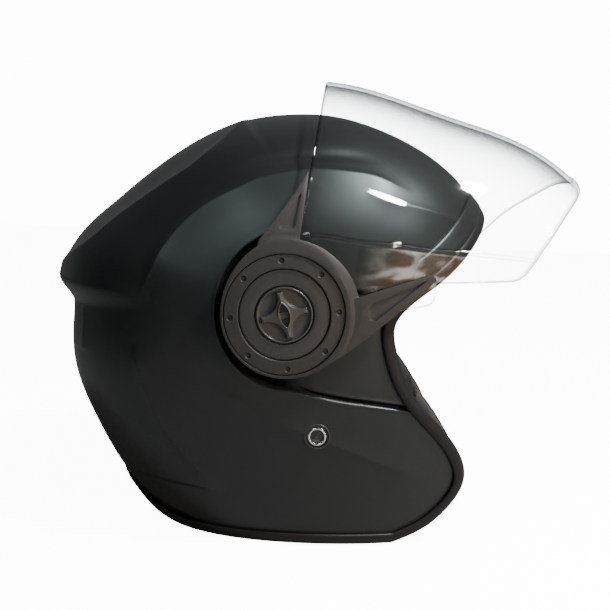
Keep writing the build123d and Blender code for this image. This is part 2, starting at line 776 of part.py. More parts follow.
with BuildPart() as strap_rivet_right:
    with BuildSketch(hub_plane(WASHER_START - 0.6)):
        with Locations((RIVET_X, RIVET_Z)):
            Circle(RIVET_SHANK_RADIUS)
    extrude(amount=CUP_FLOOR + 0.05 - WASHER_START + 0.6)
    with BuildSketch(hub_plane(CUP_FLOOR + 0.05)):
        with Locations((RIVET_X, RIVET_Z)):
            Circle(RIVET_CAP_RADIUS)
    extrude(amount=RIVET_TOP - CUP_FLOOR - 0.05)
    with BuildSketch(hub_plane(RIVET_TOP)):
        with Locations((RIVET_X, RIVET_Z)):
            Circle(RIVET_CAP_RADIUS - 1.6)
    extrude(amount=-1, mode=Mode.SUBTRACT)
save_pair(strap_rivet_right.part, "strap_rivet")

with BuildPart() as rivet_washer_right:
    with BuildSketch(hub_plane(WASHER_START)):
        with Locations((RIVET_X, RIVET_Z)):
            Circle(CUP_RADIUS - 0.5)
            Circle(RIVET_SHANK_RADIUS + 0.05, mode=Mode.SUBTRACT)
    extrude(amount=WASHER_THICKNESS)
save_pair(rivet_washer_right.part, "rivet_washer")

strap_outside = shell_bowl(STRAP_OUTSIDE)
strap_inside = shell_bowl(STRAP_OUTSIDE - STRAP_THICKNESS)


def strap_band(points):
    """Upright strip of webbing seen along the helmet, as an outline of points and its thickness."""
    lower = [(x, z - STRAP_THICKNESS / 2) for x, z in points]
    upper = [(x, z + STRAP_THICKNESS / 2) for x, z in reversed(points)]
    return lower + upper


def strap(loop_at):
    """Right half of a chin strap: riveted inside the cheek, then lying across to the bar it loops round."""
    with BuildPart() as half:
        add(strap_outside)
        add(strap_inside, mode=Mode.SUBTRACT)
        cut_to_outline(
            (STRAP_BACK, STRAP_TOP), (STRAP_FRONT, STRAP_TOP), (STRAP_FRONT, STRAP_LEVEL + 1),
            (STRAP_BACK, STRAP_LEVEL + 1),
        )
        keep_right()
        with BuildSketch(side_plane(-90)) as hole:
            with Locations((RIVET_X, RIVET_Z)):
                Circle(RIVET_SHANK_RADIUS + 0.1)
        extrude(hole.sketch, amount=40, mode=Mode.SUBTRACT)
        with BuildSketch(cross_plane(STRAP_BACK)) as band:
            with BuildLine() as edge:
                Polyline(
                    *strap_band([
                        (-STRAP_TURN, STRAP_LEVEL + 2.4), (-STRAP_TURN + 4, STRAP_LEVEL),
                        (-loop_at - BAR_RADIUS, STRAP_LEVEL),
                    ]),
                    close=True,
                )
            make_face(edge.edges())
            with Locations((-loop_at, STRAP_LEVEL)):
                Circle(BAR_RADIUS + STRAP_THICKNESS)
                Circle(BAR_RADIUS + 0.1, mode=Mode.SUBTRACT)
        extrude(band.sketch, amount=STRAP_WIDTH)
    return half.part


save(strap(TONGUE_BAR), "chin_strap_right")
with BuildPart() as chin_strap_left:
    mirror(strap(HOUSING_BAR), about=Plane.XZ)
save(chin_strap_left.part, "chin_strap_left")

# Ratchet buckle. Across is towards the wearer's left; heights are in the side view.


def buckle_box(back, wide, left, right, low, high, mode=Mode.ADD):
    """A block of the buckle, from its ranges along, across and up."""
    with BuildSketch(cross_plane(back)) as face:
        with Locations(((left + right) / 2, (low + high) / 2)):
            Rectangle(abs(right - left), abs(high - low))
    extrude(face.sketch, amount=wide, mode=mode)


def buckle_rod(back, wide, across, height, radius, mode=Mode.ADD):
    """A round bar of the buckle lying along the helmet."""
    with BuildSketch(cross_plane(back)) as face:
        with Locations((across, height)):
            Circle(radius)
    extrude(face.sketch, amount=wide, mode=mode)


with BuildPart() as buckle_housing:
    buckle_box(
        BUCKLE_BACK, BUCKLE_WIDTH, HOUSING_FRONT, FLOOR_END, HOUSING_LOW, HOUSING_LOW + HOUSING_FLOOR
    )
    for wall in (BUCKLE_BACK, BUCKLE_BACK + BUCKLE_WIDTH - WALL):
        buckle_box(wall, WALL, HOUSING_FRONT, HOUSING_BAR + 2.6, HOUSING_LOW, HOUSING_HIGH)
    buckle_rod(BUCKLE_BACK, BUCKLE_WIDTH, HOUSING_BAR, STRAP_LEVEL, BAR_RADIUS)
    buckle_rod(BUCKLE_BACK, BUCKLE_WIDTH, PIN_ACROSS, PIN_HEIGHT, PIN_RADIUS + 0.02, Mode.SUBTRACT)
buckle_housing.part.label = "buckle_housing"
export_step(buckle_housing.part, "parts/buckle_housing.step")

with BuildPart() as lever_pin:
    buckle_rod(BUCKLE_BACK + 0.2, BUCKLE_WIDTH - 0.4, PIN_ACROSS, PIN_HEIGHT, PIN_RADIUS)
lever_pin.part.label = "lever_pin"
export_step(lever_pin.part, "parts/lever_pin.step")

with BuildPart() as buckle_lever:
    buckle_box(LEVER_BACK, LEVER_WIDTH, LEVER_TIP, PIN_ACROSS, LEVER_LOW, LEVER_LOW + LEVER_THICKNESS)
    buckle_rod(LEVER_BACK, LEVER_WIDTH, PIN_ACROSS, PIN_HEIGHT, LEVER_EYE)
    buckle_box(LEVER_BACK, LEVER_WIDTH, PAWL_LEFT, PAWL_RIGHT, LEVER_LOW - PAWL_DEPTH, LEVER_LOW)
    buckle_rod(LEVER_BACK, LEVER_WIDTH, PIN_ACROSS, PIN_HEIGHT, PIN_RADIUS + 0.05, Mode.SUBTRACT)
buckle_lever.part.label = "buckle_lever"
export_step(buckle_lever.part, "parts/buckle_lever.step")

with BuildPart() as lever_spring:
    buckle_rod(LEVER_BACK - 3, COIL_LENGTH, PIN_ACROSS, PIN_HEIGHT, COIL_RADIUS)
    buckle_rod(LEVER_BACK - 3, COIL_LENGTH, PIN_ACROSS, PIN_HEIGHT, PIN_RADIUS + 0.05, Mode.SUBTRACT)
lever_spring.part.label = "lever_spring"
export_step(lever_spring.part, "parts/lever_spring.step")

# Toothed tongue that slides into the housing from the wearer's right.
with BuildPart() as buckle_tongue:
    buckle_box(LEVER_BACK, LEVER_WIDTH, CROSSBAR_START, TONGUE_END, TONGUE_LOW, TONGUE_TOP)
    for tooth in range(TEETH):
        start = TOOTH_START + tooth * TOOTH_PITCH
        buckle_box(
            LEVER_BACK + 2, LEVER_WIDTH - 4, start, start + TOOTH_LENGTH,
            TONGUE_TOP, TONGUE_TOP + TOOTH_HEIGHT,
        )
    for cheek in (BUCKLE_BACK, BUCKLE_BACK + BUCKLE_WIDTH - 2):
        buckle_box(cheek, 2, -TONGUE_BAR - 1.6, CROSSBAR_END, TONGUE_LOW, TONGUE_TOP)
    buckle_box(BUCKLE_BACK, BUCKLE_WIDTH, CROSSBAR_START, CROSSBAR_END, TONGUE_LOW, TONGUE_TOP)
    buckle_rod(BUCKLE_BACK, BUCKLE_WIDTH, -TONGUE_BAR, STRAP_LEVEL, BAR_RADIUS)
buckle_tongue.part.label = "buckle_tongue"
export_step(buckle_tongue.part, "parts/buckle_tongue.step")
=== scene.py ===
from math import cos
from math import radians
from math import sin

import bmesh
import bpy
import numpy as np
from mathutils import Matrix
from mathutils import Vector


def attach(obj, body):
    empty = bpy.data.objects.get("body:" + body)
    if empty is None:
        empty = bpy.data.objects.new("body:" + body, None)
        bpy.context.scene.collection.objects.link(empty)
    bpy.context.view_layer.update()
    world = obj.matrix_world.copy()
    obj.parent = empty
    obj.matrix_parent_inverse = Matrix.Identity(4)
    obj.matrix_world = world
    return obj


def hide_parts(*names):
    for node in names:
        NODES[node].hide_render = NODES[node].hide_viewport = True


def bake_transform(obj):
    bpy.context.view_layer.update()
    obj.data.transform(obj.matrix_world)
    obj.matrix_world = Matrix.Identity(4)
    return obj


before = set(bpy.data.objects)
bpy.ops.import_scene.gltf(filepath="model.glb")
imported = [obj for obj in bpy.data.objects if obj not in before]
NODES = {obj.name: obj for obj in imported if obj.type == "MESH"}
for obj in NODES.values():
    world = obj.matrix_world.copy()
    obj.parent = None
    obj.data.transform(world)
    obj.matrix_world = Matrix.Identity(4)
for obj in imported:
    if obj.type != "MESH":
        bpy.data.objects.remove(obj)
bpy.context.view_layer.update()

# Side view frame: millimetres about the hub line, x forward, z up, tipped nose up on the row frame.
HUB_X = -16.5
HUB_Z = 132.8
PITCH = radians(3.0)
RADIUS_STEP = 15.0
VISOR_HALF = 124.0
FULLNESS = 2.4
MIRROR = np.array([1, -1, 1])
SHELL_RADII = [
    139.0, 132.6, 129.4, 123.7, 118.2, 115.1, 112.5, 111.9,
    111.9, 114.3, 122.0, 132.2, 132.8, 137.6, 139.7, 146.2,
    159.3, 181.0, 196.0, 200.0, 196.0, 186.0, 170.0, 152.0,
]
VISOR_RADII = [
    200.0, 199.0, 178.8, 153.1, 140.2, 135.6, 132.5, 131.0,
    130.0, 130.0, 130.0, 130.0, 130.0, 130.0, 130.0, 130.0,
    130.0, 130.0, 130.0, 135.0, 145.0, 160.0, 180.0, 195.0,
]

# Edge of the shell, down the face opening, then along the bottom and round the nape.
OPENING_POINTS = [
    (122.0, 50.0), (105.0, 31.0), (86.0, 15.0), (68.0, 3.0), (59.0, -8.0), (59.4, -19.0),
    (70.5, -47.1), (85.4, -64.9), (97.5, -82.0), (101.8, -99.0), (93.0, -116.5), (79.0, -128.5),
    (60.0, -136.0),
]
NAPE_POINTS = [(-60.0, -129.8), (-79.0, -126.0), (-97.0, -116.0), (-135.0, -92.0)]


# Forms -------------------------------------


def radius_curve(values):
    """Smooth closed curve through radii spaced evenly round the hub."""
    values = np.array(values)
    count = len(values)
    system = 4 * np.eye(count) + np.roll(np.eye(count), 1, 0) + np.roll(np.eye(count), -1, 0)
    bend = np.linalg.solve(system, 6 * (np.roll(values, -1) - 2 * values + np.roll(values, 1)))

    def radius(angle):
        place = (np.asarray(angle) % 360) / RADIUS_STEP
        low = np.floor(place).astype(int) % count
        high = (low + 1) % count
        share = place - np.floor(place)
        rest = 1 - share
        cubic = (rest**3 - rest) * bend[low] + (share**3 - share) * bend[high]
        return rest * values[low] + share * values[high] + cubic / 6

    return radius


# Each bowl: radius by angle, half width, and how much squarer its lower back is.
SHELL = (radius_curve(SHELL_RADII), 118.0, 0.5)
VISOR = (radius_curve(VISOR_RADII), VISOR_HALF, 0.0)


def fullness(form, angle):
    """Power of the superellipse that shapes the section at an angle round the hub."""
    away = (np.asarray(angle) - 215 + 180) % 360 - 180
    return FULLNESS + form[2] * np.exp(-((away / 35) ** 2))


def bowl_point(form, grow, angle, swing):
    """Points of a bowl, from the angle round the hub and the swing from one side to the other."""
    power = fullness(form, angle)
    turn = np.radians(swing)
    across = (form[1] + grow) * np.sign(turn) * np.abs(np.sin(turn)) ** (2 / power)
    reach = (form[0](angle) + grow) * np.abs(np.cos(turn)) ** (2 / power)
    bearing = np.radians(angle)
    return np.stack([reach * np.cos(bearing), across, reach * np.sin(bearing)], -1)


def bowl_side(form, grow, x, z):
    """Distance from the mid plane to a bowl at a place in the side view. Nought outside it."""
    angle = np.degrees(np.arctan2(z, x))
    power = fullness(form, angle)
    share = np.hypot(x, z) / (form[0](angle) + grow)
    return (form[1] + grow) * np.maximum(0, 1 - share**power) ** (1 / power)


def to_row(points):
    """From the side view frame to the row frame, in metres."""
    points = np.asarray(points, float)
    x = HUB_X + points[..., 0] * cos(PITCH) - points[..., 2] * sin(PITCH)
    z = HUB_Z + points[..., 0] * sin(PITCH) + points[..., 2] * cos(PITCH)
    return np.stack([x, points[..., 1], z], -1) / 1000


def floor_height(forward):
    return -(HUB_Z + forward * sin(PITCH)) / cos(PITCH)


def spline(points, step):
    """Natural cubic through open points, sampled about every step."""
    points = np.array(points, float)
    spans = np.diff(points, axis=0)
    lengths = np.linalg.norm(spans, axis=1)
    knots = np.concatenate([[0], np.cumsum(lengths)])
    system = np.diag(np.concatenate([[1], 2 * (lengths[:-1] + lengths[1:]), [1]]))
    system[1:-1, :-2] += np.diag(lengths[:-1])
    system[1:-1, 2:] += np.diag(lengths[1:])
    target = np.zeros(points.shape)
    target[1:-1] = 6 * np.diff(spans / lengths[:, None], axis=0)
    bend = np.linalg.solve(system, target)
    places = np.linspace(0, knots[-1], max(2, int(knots[-1] / step)))
    index = np.clip(np.searchsorted(knots, places, "right") - 1, 0, len(points) - 2)
    gap = lengths[index][:, None]
    left = (knots[index + 1] - places)[:, None] / gap
    right = (places - knots[index])[:, None] / gap
    curve = left * points[index] + right * points[index + 1]
    return curve + gap**2 * ((left**3 - left) * bend[index] + (right**3 - right) * bend[index + 1]) / 6


def smooth(value):
    """Nought to one with soft ends."""
    value = np.clip(value, 0, 1)
    return value * value * (3 - 2 * value)


def track(x, z, points):
    """Distance from places in the side view to a line, plus on its left side, and the share along it."""
    points = np.asarray(points, float)
    runs = np.linalg.norm(np.diff(points, axis=0), axis=1)
    starts = np.concatenate([[0], np.cumsum(runs)])
    best = np.full(x.shape, 1e9)
    signed = np.full(x.shape, 1e9)
    along = np.zeros(x.shape)
    for i in range(len(points) - 1):
        ax, az = points[i]
        dx, dz = points[i + 1] - points[i]
        share = np.clip(((x - ax) * dx + (z - az) * dz) / (runs[i] ** 2), 0, 1)
        off_x = x - ax - share * dx
        off_z = z - az - share * dz
        gap = np.hypot(off_x, off_z)
        closer = gap < best
        best = np.where(closer, gap, best)
        left = np.where(dx * off_z - dz * off_x >= 0, gap, -gap)
        signed = np.where(closer, left, signed)
        along = np.where(closer, (starts[i] + share * runs[i]) / starts[-1], along)
    return signed, along


def inside(x, z, points):
    """True inside a closed side view outline."""
    result = np.zeros(x.shape, bool)
    for (ax, az), (bx, bz) in zip(points, np.roll(points, 1, 0)):
        if az != bz:
            crosses = (az > z) != (bz > z)
            result ^= crosses & (x < (bx - ax) * (z - az) / (bz - az) + ax)
    return result


def moved_inwards(points, inset):
    """The same open line of points, moved sideways to its right by the inset."""
    moved = []
    for index, point in enumerate(points):
        before = points[max(index - 1, 0)]
        after = points[min(index + 1, len(points) - 1)]
        run = after[0] - before[0]
        rise = after[1] - before[1]
        length = np.hypot(run, rise)
        moved.append((point[0] + inset * rise / length, point[1] - inset * run / length))
    return moved


def edge_line(inset, step=0.5):
    """Side view line of the shell's edge, moved inwards, from the brow round to the nape."""
    opening = moved_inwards(OPENING_POINTS, inset)
    base = moved_inwards([(60, floor_height(60)), (-60, floor_height(-60))], inset)
    nape = moved_inwards(NAPE_POINTS, inset)
    opening[-1] = base[0]
    nape[0] = base[1]
    straight = np.linspace(base[0], base[1], int(120 / step))[1:-1]
    return np.concatenate([spline(opening, step), straight, spline(nape, step)])


def edge_region(inset):
    """Closed side view outline of the shell."""
    line = edge_line(inset)
    frame_points = [(-180, line[-1][1]), (-180, 165), (135, 165), (135, line[0][1])]
    return np.concatenate([line, frame_points])


def resample(points, count):
    """The same line in equal steps."""
    runs = np.concatenate([[0], np.cumsum(np.linalg.norm(np.diff(points, axis=0), axis=1))])
    places = np.linspace(0, runs[-1], count)
    return np.stack([np.interp(places, runs, points[:, i]) for i in range(points.shape[1])], -1)


def edge_curve(inset, grow, count):
    """Closed loop in space where the moved edge line meets the grown shell, right side then left."""
    line = edge_line(inset, 0.03)
    # Carry the line on past the brow, so that it always starts outside the shell.
    ahead = (line[0] - line[1]) / np.linalg.norm(line[0] - line[1])
    line = np.concatenate([line[0] + ahead * np.arange(30, 0, -0.03)[:, None], line])
    side = bowl_side(SHELL, grow, line[:, 0], line[:, 1])
    used = np.nonzero(side > 0)[0]
    first, last = used[0] - 1, used[-1] + 1
    part = line[max(first, 0):last + 1]
    half = np.stack([part[:, 0], -bowl_side(SHELL, grow, part[:, 0], part[:, 1]), part[:, 1]], -1)
    half = resample(half, count)
    half[0, 1] = 0
    half[-1, 1] = 0
    other = half[::-1][1:-1] * MIRROR
    return half, other


# Objects -----------------------------------


def make_object(name, points, faces, material, body, close=False):
    """A smooth shaded mesh from side view points. It moves with a body, if one is given. Closing
    it fills its ends and turns its faces outwards."""
    vertices = to_row(points).reshape(-1, 3)
    mesh = bpy.data.meshes.new(name)
    mesh.vertices.add(len(vertices))
    mesh.vertices.foreach_set("co", vertices.ravel())
    mesh.loops.add(faces.size)
    mesh.loops.foreach_set("vertex_index", faces.ravel().astype(np.int32))
    mesh.polygons.add(len(faces))
    mesh.polygons.foreach_set("loop_start", np.arange(0, faces.size, 4, dtype=np.int32))
    mesh.polygons.foreach_set("use_smooth", np.ones(len(faces), bool))
    mesh.update(calc_edges=True)
    mesh.validate()
    mesh.materials.append(material)
    if close:
        clean(mesh)
    obj = add_object(name, mesh)
    if body:
        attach(obj, body)
    return obj


def add_object(name, data):
    obj = bpy.data.objects.new(name, data)
    bpy.context.scene.collection.objects.link(obj)
    return obj


def dress(obj, slot_name, *node_names):
    """Let an object stand in for nodes of the frame, by hiding them. The slot name is not used."""
    if node_names:
        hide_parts(*node_names)


def add_tone(obj, name, values):
    """Store a number for every vertex, for a material to read."""
    tone = obj.data.attributes.new(name, "FLOAT", "POINT")
    tone.data.foreach_set("value", values.astype(np.float32))


def clean(mesh):
    """Merge points that coincide, close what is open, and turn every face outwards."""
    form = bmesh.new()
    form.from_mesh(mesh)
    bmesh.ops.remove_doubles(form, verts=form.verts, dist=0.00002)
    bmesh.ops.holes_fill(form, edges=form.edges, sides=0)
    bmesh.ops.recalc_face_normals(form, faces=form.faces)
    for face in form.faces:
        face.smooth = True
    form.to_mesh(mesh)
    form.free()


def grid_faces(rows, columns, wrap_rows=False, wrap_columns=False):
    """Quads of a grid of points stored row by row."""
    row = np.arange(rows if wrap_rows else rows - 1)
    column = np.arange(columns if wrap_columns else columns - 1)
    r, c = np.meshgrid(row, column, indexing="ij")
    r2 = (r + 1) % rows
    c2 = (c + 1) % columns
    quads = np.stack([r * columns + c, r2 * columns + c, r2 * columns + c2, r * columns + c2], -1)
    return quads.reshape(-1, 4)


def grid_normals(points, wrap=True):
    """Outward normals of a grid round the hub."""
    if wrap:
        along = np.roll(points, -1, 0) - np.roll(points, 1, 0)
    else:
        along = np.gradient(points, axis=0)
    across = np.gradient(points, axis=1)
    normal = np.cross(along, across)
    normal /= np.maximum(np.linalg.norm(normal, axis=-1, keepdims=True), 1e-9)
    outward = np.sum(normal * points, -1, keepdims=True)
    return np.where(outward < 0, -normal, normal)


# Materials ---------------------------------


def principled(name, colour, rough, **others):
    material = bpy.data.materials.new(name)
    material.use_nodes = True
    shader = material.node_tree.nodes["Principled BSDF"]
    shader.inputs["Base Color"].default_value = (*colour, 1)
    shader.inputs["Roughness"].default_value = rough
    for socket_name, value in others.items():
        shader.inputs[socket_name.replace("_", " ")].default_value = value
    return material


def add_node(tree, kind, **sources):
    """A shader node. Its inputs, written with _ for a space, take a value or another node's output."""
    node = tree.nodes.new("ShaderNode" + kind)
    for name, source in sources.items():
        feed(tree, node.inputs[name.replace("_", " ")], source)
    return node


def feed(tree, socket, source):
    if isinstance(source, bpy.types.NodeSocket):
        tree.links.new(source, socket)
    else:
        socket.default_value = source


def calculate(tree, operation, *sources):
    """One sum of two or three numbers."""
    node = add_node(tree, "Math")
    node.operation = operation
    for index, source in enumerate(sources):
        feed(tree, node.inputs[index], source)
    return node.outputs["Value"]


def mixed(tree, share, first, second, kind="FLOAT"):
    """Numbers or colours mixed by a share."""
    node = add_node(tree, "Mix")
    node.data_type = kind
    for name, source in (("Factor", share), ("A", first), ("B", second)):
        feed(tree, node.inputs[name], source)
    return node.outputs["Result"]


def ranged(tree, source, low, high, first, second):
    """A value between low and high turned into one between first and second."""
    node = add_node(tree, "MapRange", Value=source, From_Min=low, From_Max=high, To_Min=first, To_Max=second)
    return node.outputs["Result"]


def noise(material, scale, detail=3.0, stretch=(1, 1, 1)):
    """Noise in metres of the object's own space, stretched by a scale."""
    tree = material.node_tree
    place = object_space(tree)
    mapping = add_node(tree, "Mapping", Vector=place, Scale=stretch)
    node = add_node(tree, "TexNoise", Vector=mapping.outputs["Vector"], Scale=scale, Detail=detail)
    return node.outputs["Fac"]


def object_space(tree):
    return add_node(tree, "TexCoord").outputs["Object"]


def add_bump(material, height, distance):
    """Raise the surface by a texture, in metres."""
    tree = material.node_tree
    normal = tree.nodes["Principled BSDF"].inputs["Normal"]
    bump = add_node(tree, "Bump", Height=height, Distance=distance, Strength=1.0)
    if normal.links:
        tree.links.new(normal.links[0].from_socket, bump.inputs["Normal"])
    tree.links.new(bump.outputs["Normal"], normal)


def vary(material, source, low, high):
    """Let a texture move the roughness between two values."""
    tree = material.node_tree
    spread = ranged(tree, source, 0.3, 0.7, low, high)
    tree.links.new(spread, tree.nodes["Principled BSDF"].inputs["Roughness"])


def surface(name, colour, rough, spread, grain, **others):
    """A plain material. Its roughness may vary: by noise of a scale and detail, from low to high. It
    may have a grain: noise of a scale and detail, and its height in metres."""
    material = principled(name, colour, rough, **others)
    if spread:
        scale, detail, low, high = spread
        vary(material, noise(material, scale, detail), low, high)
    if grain:
        scale, detail, height = grain
        add_bump(material, noise(material, scale, detail), height)
    return material


def shell_paint():
    """Satin lacquer. Where the shade attribute is one, painted shade turns it near black and takes away most
    of its reflection, in the recess round the hub.
    """
    lacquer = (0.005, 0.0052, 0.0056)
    material = surface(
        "satin_black_lacquer", lacquer, 0.38, (30, 4, 0.36, 0.42), (900, 2, 0.00002),
        Specular_Tint=(0.86, 0.99, 1.0, 1),
    )
    tree = material.node_tree
    shader = tree.nodes["Principled BSDF"]
    # Painted shade: the recess floor and channel are darkened to near black and lose their shine, for the
    # shadow that falls there.
    shade = attribute(tree, "shade")
    feed(tree, shader.inputs["Specular IOR Level"], ranged(tree, shade, 0.0, 1.0, 0.5, 0.03))
    colour = mixed(tree, shade, (*lacquer, 1), (0.001, 0.001, 0.001, 1), "RGBA")
    feed(tree, shader.inputs["Base Color"], colour)
    return material


def attribute(tree, name):
    node = add_node(tree, "Attribute")
    node.attribute_name = name
    return node.outputs["Fac"]


def foam():
    material = principled("foam_beads", (0.008, 0.008, 0.008), 0.85)
    tree = material.node_tree
    beads = add_node(tree, "TexVoronoi", Vector=object_space(tree), Scale=350)
    add_bump(material, beads.outputs["Distance"], 0.0004)
    return material


def lining_fabric():
    """Knit with a fine loop, over the slight unevenness of the foam behind it."""
    material = surface(
        "brushed_knit", (0.007, 0.007, 0.0075), 0.9, None, (1500, 3, 0.0002),
        Specular_IOR_Level=0.2, Sheen_Weight=0.08, Sheen_Roughness=0.5,
    )
    add_bump(material, noise(material, 160, 2), 0.0006)
    return material


def webbing():
    material = principled("woven_webbing", (0.012, 0.012, 0.012), 0.75)
    tree = material.node_tree
    wave = add_node(tree, "TexWave", Vector=object_space(tree), Scale=260, Distortion=0.6)
    add_bump(material, wave.outputs["Fac"], 0.0003)
    return material


def clear_sheet():
    """Clear plastic: see through and more mirror-like the flatter it is looked along. Painted shade greys it
    where it is looked along flat and where the grey attribute is set.
    """
    material = bpy.data.materials.new("clear_sheet")
    material.use_nodes = True
    tree = material.node_tree
    tree.nodes.remove(tree.nodes["Principled BSDF"])
    facing = add_node(tree, "LayerWeight", Blend=0.5).outputs["Facing"]
    mirror = calculate(tree, "MULTIPLY_ADD", calculate(tree, "POWER", facing, 5.0), 0.9, 0.035)
    # Painted shade: grey laid into the see-through colour at flat angles and along the marked edges and
    # crease.
    grey = calculate(tree, "MAXIMUM", calculate(tree, "POWER", facing, 3.0), attribute(tree, "grey"))
    painted_shade_tint = mixed(tree, grey, (0.955, 0.965, 0.96, 1), (0.42, 0.44, 0.45, 1), "RGBA")
    passing = add_node(tree, "BsdfTransparent", Color=painted_shade_tint)
    rough = ranged(tree, noise(material, 25, 2), 0.3, 0.7, 0.02, 0.05)
    shine = add_node(tree, "BsdfGlossy", Roughness=rough)
    mix = add_node(tree, "MixShader", Fac=mirror)
    tree.links.new(passing.outputs["BSDF"], mix.inputs[1])
    tree.links.new(shine.outputs["BSDF"], mix.inputs[2])
    tree.links.new(mix.outputs["Shader"], tree.nodes["Material Output"].inputs["Surface"])
    return material


def metal(name, colour, rough):
    spread = (400, 2, rough * 0.8, rough * 1.3)
    return surface(name, colour, rough, spread, (1200, 2, 0.00001), Metallic=1.0)


PAINT = shell_paint()
GRAINED = surface(
    "grained_black_plastic", (0.0108, 0.0106, 0.0102), 0.5, (60, 3, 0.45, 0.56), (2600, 2, 0.00006)
)
RUBBER = surface(
    "satin_rubber", (0.0035, 0.0036, 0.004), 0.5, (120, 3, 0.44, 0.56), (1800, 2, 0.00002),
    Specular_IOR_Level=0.3,
)
FOAM = foam()
FABRIC = lining_fabric()
WEBBING = webbing()
CLEAR = clear_sheet()
BLACK = surface("satin_black_plastic", (0.015, 0.015, 0.0154), 0.42, None, (1600, 2, 0.00002))
ACETAL = surface("dark_acetal", (0.03, 0.03, 0.03), 0.35, None, (900, 2, 0.00002))
KNOB = surface("knob_plastic", (0.02, 0.02, 0.0205), 0.35, (300, 3, 0.3, 0.42), None)
CHROME = metal("polished_chrome", (0.75, 0.75, 0.76), 0.08)
STEEL = metal("zinc_steel", (0.5, 0.5, 0.51), 0.3)
NICKEL = metal("nickel_steel", (0.6, 0.59, 0.57), 0.22)
RED = surface(
    "red_lacquer", (0.3, 0.012, 0.012), 0.3, None, (700, 2, 0.00002), Coat_Weight=0.5, Coat_Roughness=0.1
)

# Shell -------------------------------------

# Side view lines of the creases and grooves.
PANEL_LINE = spline([
    (-21, 107), (-27.5, 102), (-33.5, 95.2), (-40.3, 88), (-48.3, 80.5), (-53.8, 76), (-65.3, 69),
    (-76.8, 61.5), (-85.8, 55.5), (-98.8, 45.5), (-106.5, 38), (-117.9, 29), (-131, 19.5), (-143, 11)
], 1.5)
PANEL_BAND = spline([
    (-24, 101), (-29.4, 97), (-47, 90.2), (-61.6, 82.3), (-78.9, 69.1), (-100.8, 54.6), (-118, 40)
], 2)
SIDE_LINE = spline([
    (-79, 5), (-77.2, 10.5), (-71.2, 22.7), (-63.9, 35.8), (-52.9, 48.6), (-38.8, 58.8), (-24.2, 65.9),
    (-16.2, 69.7), (-7.6, 72.1), (2.6, 73.8), (12.8, 74.9), (22.9, 74.7), (36.5, 73.4), (43.4, 72.5),
    (60.6, 67), (72, 62)
], 1.5)
UPPER_BAND = spline([
    (-26, 75.5), (-11.1, 80.6), (0, 82.3), (12.9, 83.5), (23, 83.8), (33.3, 83.4), (43.9, 81.8), (56.4, 79)
], 2)
BROW_LINE = spline([
    (44, 64.5), (51.2, 60.5), (62.3, 57.1), (73.7, 54.4), (85.6, 51), (98.3, 46.4), (112, 41)
], 1.5)
BACK_LINE = spline([
    (-82, -16), (-81.4, -21.4), (-78.8, -33.4), (-73.7, -47.8), (-65.9, -64.1), (-55.3, -78.9),
    (-44.5, -91.5), (-34, -104)
], 1.5)
FAINT_LINE = spline([
    (-101.6, -57.4), (-89.8, -61.1), (-77.9, -67.2), (-69.6, -75.4), (-64.1, -81)
], 1.5)
UPPER_NOTCH = spline([
    (-97, -98), (-91.8, -98.6), (-81.2, -97.5), (-68.4, -98.6), (-56.4, -99.4), (-44.8, -100.4), (-36, -102)
], 1.5)
LOWER_NOTCH = spline([
    (-92, -104), (-85.8, -108.5), (-80.9, -112.5), (-71.1, -116.5), (-58.5, -120.5), (-49.3, -122.4)
], 1.5)
CHEEK_LINE = spline([
    (-41, -37), (-37.3, -39.9), (-19.8, -50.1), (-8, -56.7), (9.4, -64.9), (24.7, -71.9), (36.5, -76.6),
    (46.2, -81.3), (60.8, -87.9), (80, -96)
], 1.5)
REAR_LINE = spline([
    (-115.6, 0), (-115.4, -8.8), (-116, -17.4), (-116.8, -27)
], 1.5)
STEP_LINE = spline([
    (1.5, -41.5), (5.3, -42.1), (9.4, -43.3), (19.2, -45.9), (29.4, -48.2), (39.5, -49.9), (49.7, -51.6),
    (62.6, -53.9), (84, -58)
], 1)
RECESS_BACK = spline([
    (-8, 42.6), (-22.5, 33.5), (-33.2, 18.2), (-37, 0.7), (-34.2, -15.5), (-25, -29.8), (-12.5, -38.4),
    (-5.3, -40.6), (0.8, -41.4)
], 1)
RECESS_POINTS = np.concatenate(
    [[(-2, 37)], RECESS_BACK, STEP_LINE, [(84, 11), (36, 12), (30, 23), (19, 33)]]
)

RECESS_DEPTH = 3.0
RECESS_RISE = 0.9
SHELL_WALL = 3.0
SHELL_INSET = 3.6

# The ducktail by angle round the hub: where it starts to rise, over how much, and where it drops off.
TAIL_START = 148
TAIL_RUN = 25.5
TAIL_END = 180.5
TAIL_FALL = 6.5
TAIL_HALF = 107
TAIL_HEIGHT = 9.3

# Line, height, width to its left, width to its right, and the share of it that fades at each end.
CREASES = (
    (PANEL_LINE, 2.3, 9, 3.5, 0.04),
    (SIDE_LINE, 2.0, 3.5, 9, 0.15),
    (BROW_LINE, 1.4, 4, 6, 0.2),
    (BACK_LINE, 1.8, 8, 5, 0.15),
    (FAINT_LINE, 0.5, 4, 4, 0.15),
    (CHEEK_LINE, 1.2, 8, 5, 0.15),
    (REAR_LINE, 0.8, 3, 4, 0.1),
)


def along_line(x, z, line, reach, fade, early, profile):
    """Relief beside a line, from a profile across it, which fades out towards the line's ends."""
    lift = np.zeros(x.shape)
    close = near(x, z, line, reach)
    gap, along = track(x[close], z[close], line)
    ends = smooth(along / fade + early) * smooth((1 - along) / fade)
    lift[close] = profile(gap) * ends
    return lift


def crease(x, z, line, height, before, after, fade):
    """A sharp ridge. It falls away over one width to its left and another to its right."""

    def profile(gap):
        return height * np.exp(-np.abs(gap) / np.where(gap > 0, before, after))

    return along_line(x, z, line, 5 * max(before, after), fade, 0, profile)


def channel(x, z, line, depth, width, fade):
    """A soft groove."""

    def profile(gap):
        return -depth * np.exp(-((gap / width) ** 2))

    return along_line(x, z, line, 4 * width, fade, 0.2, profile)


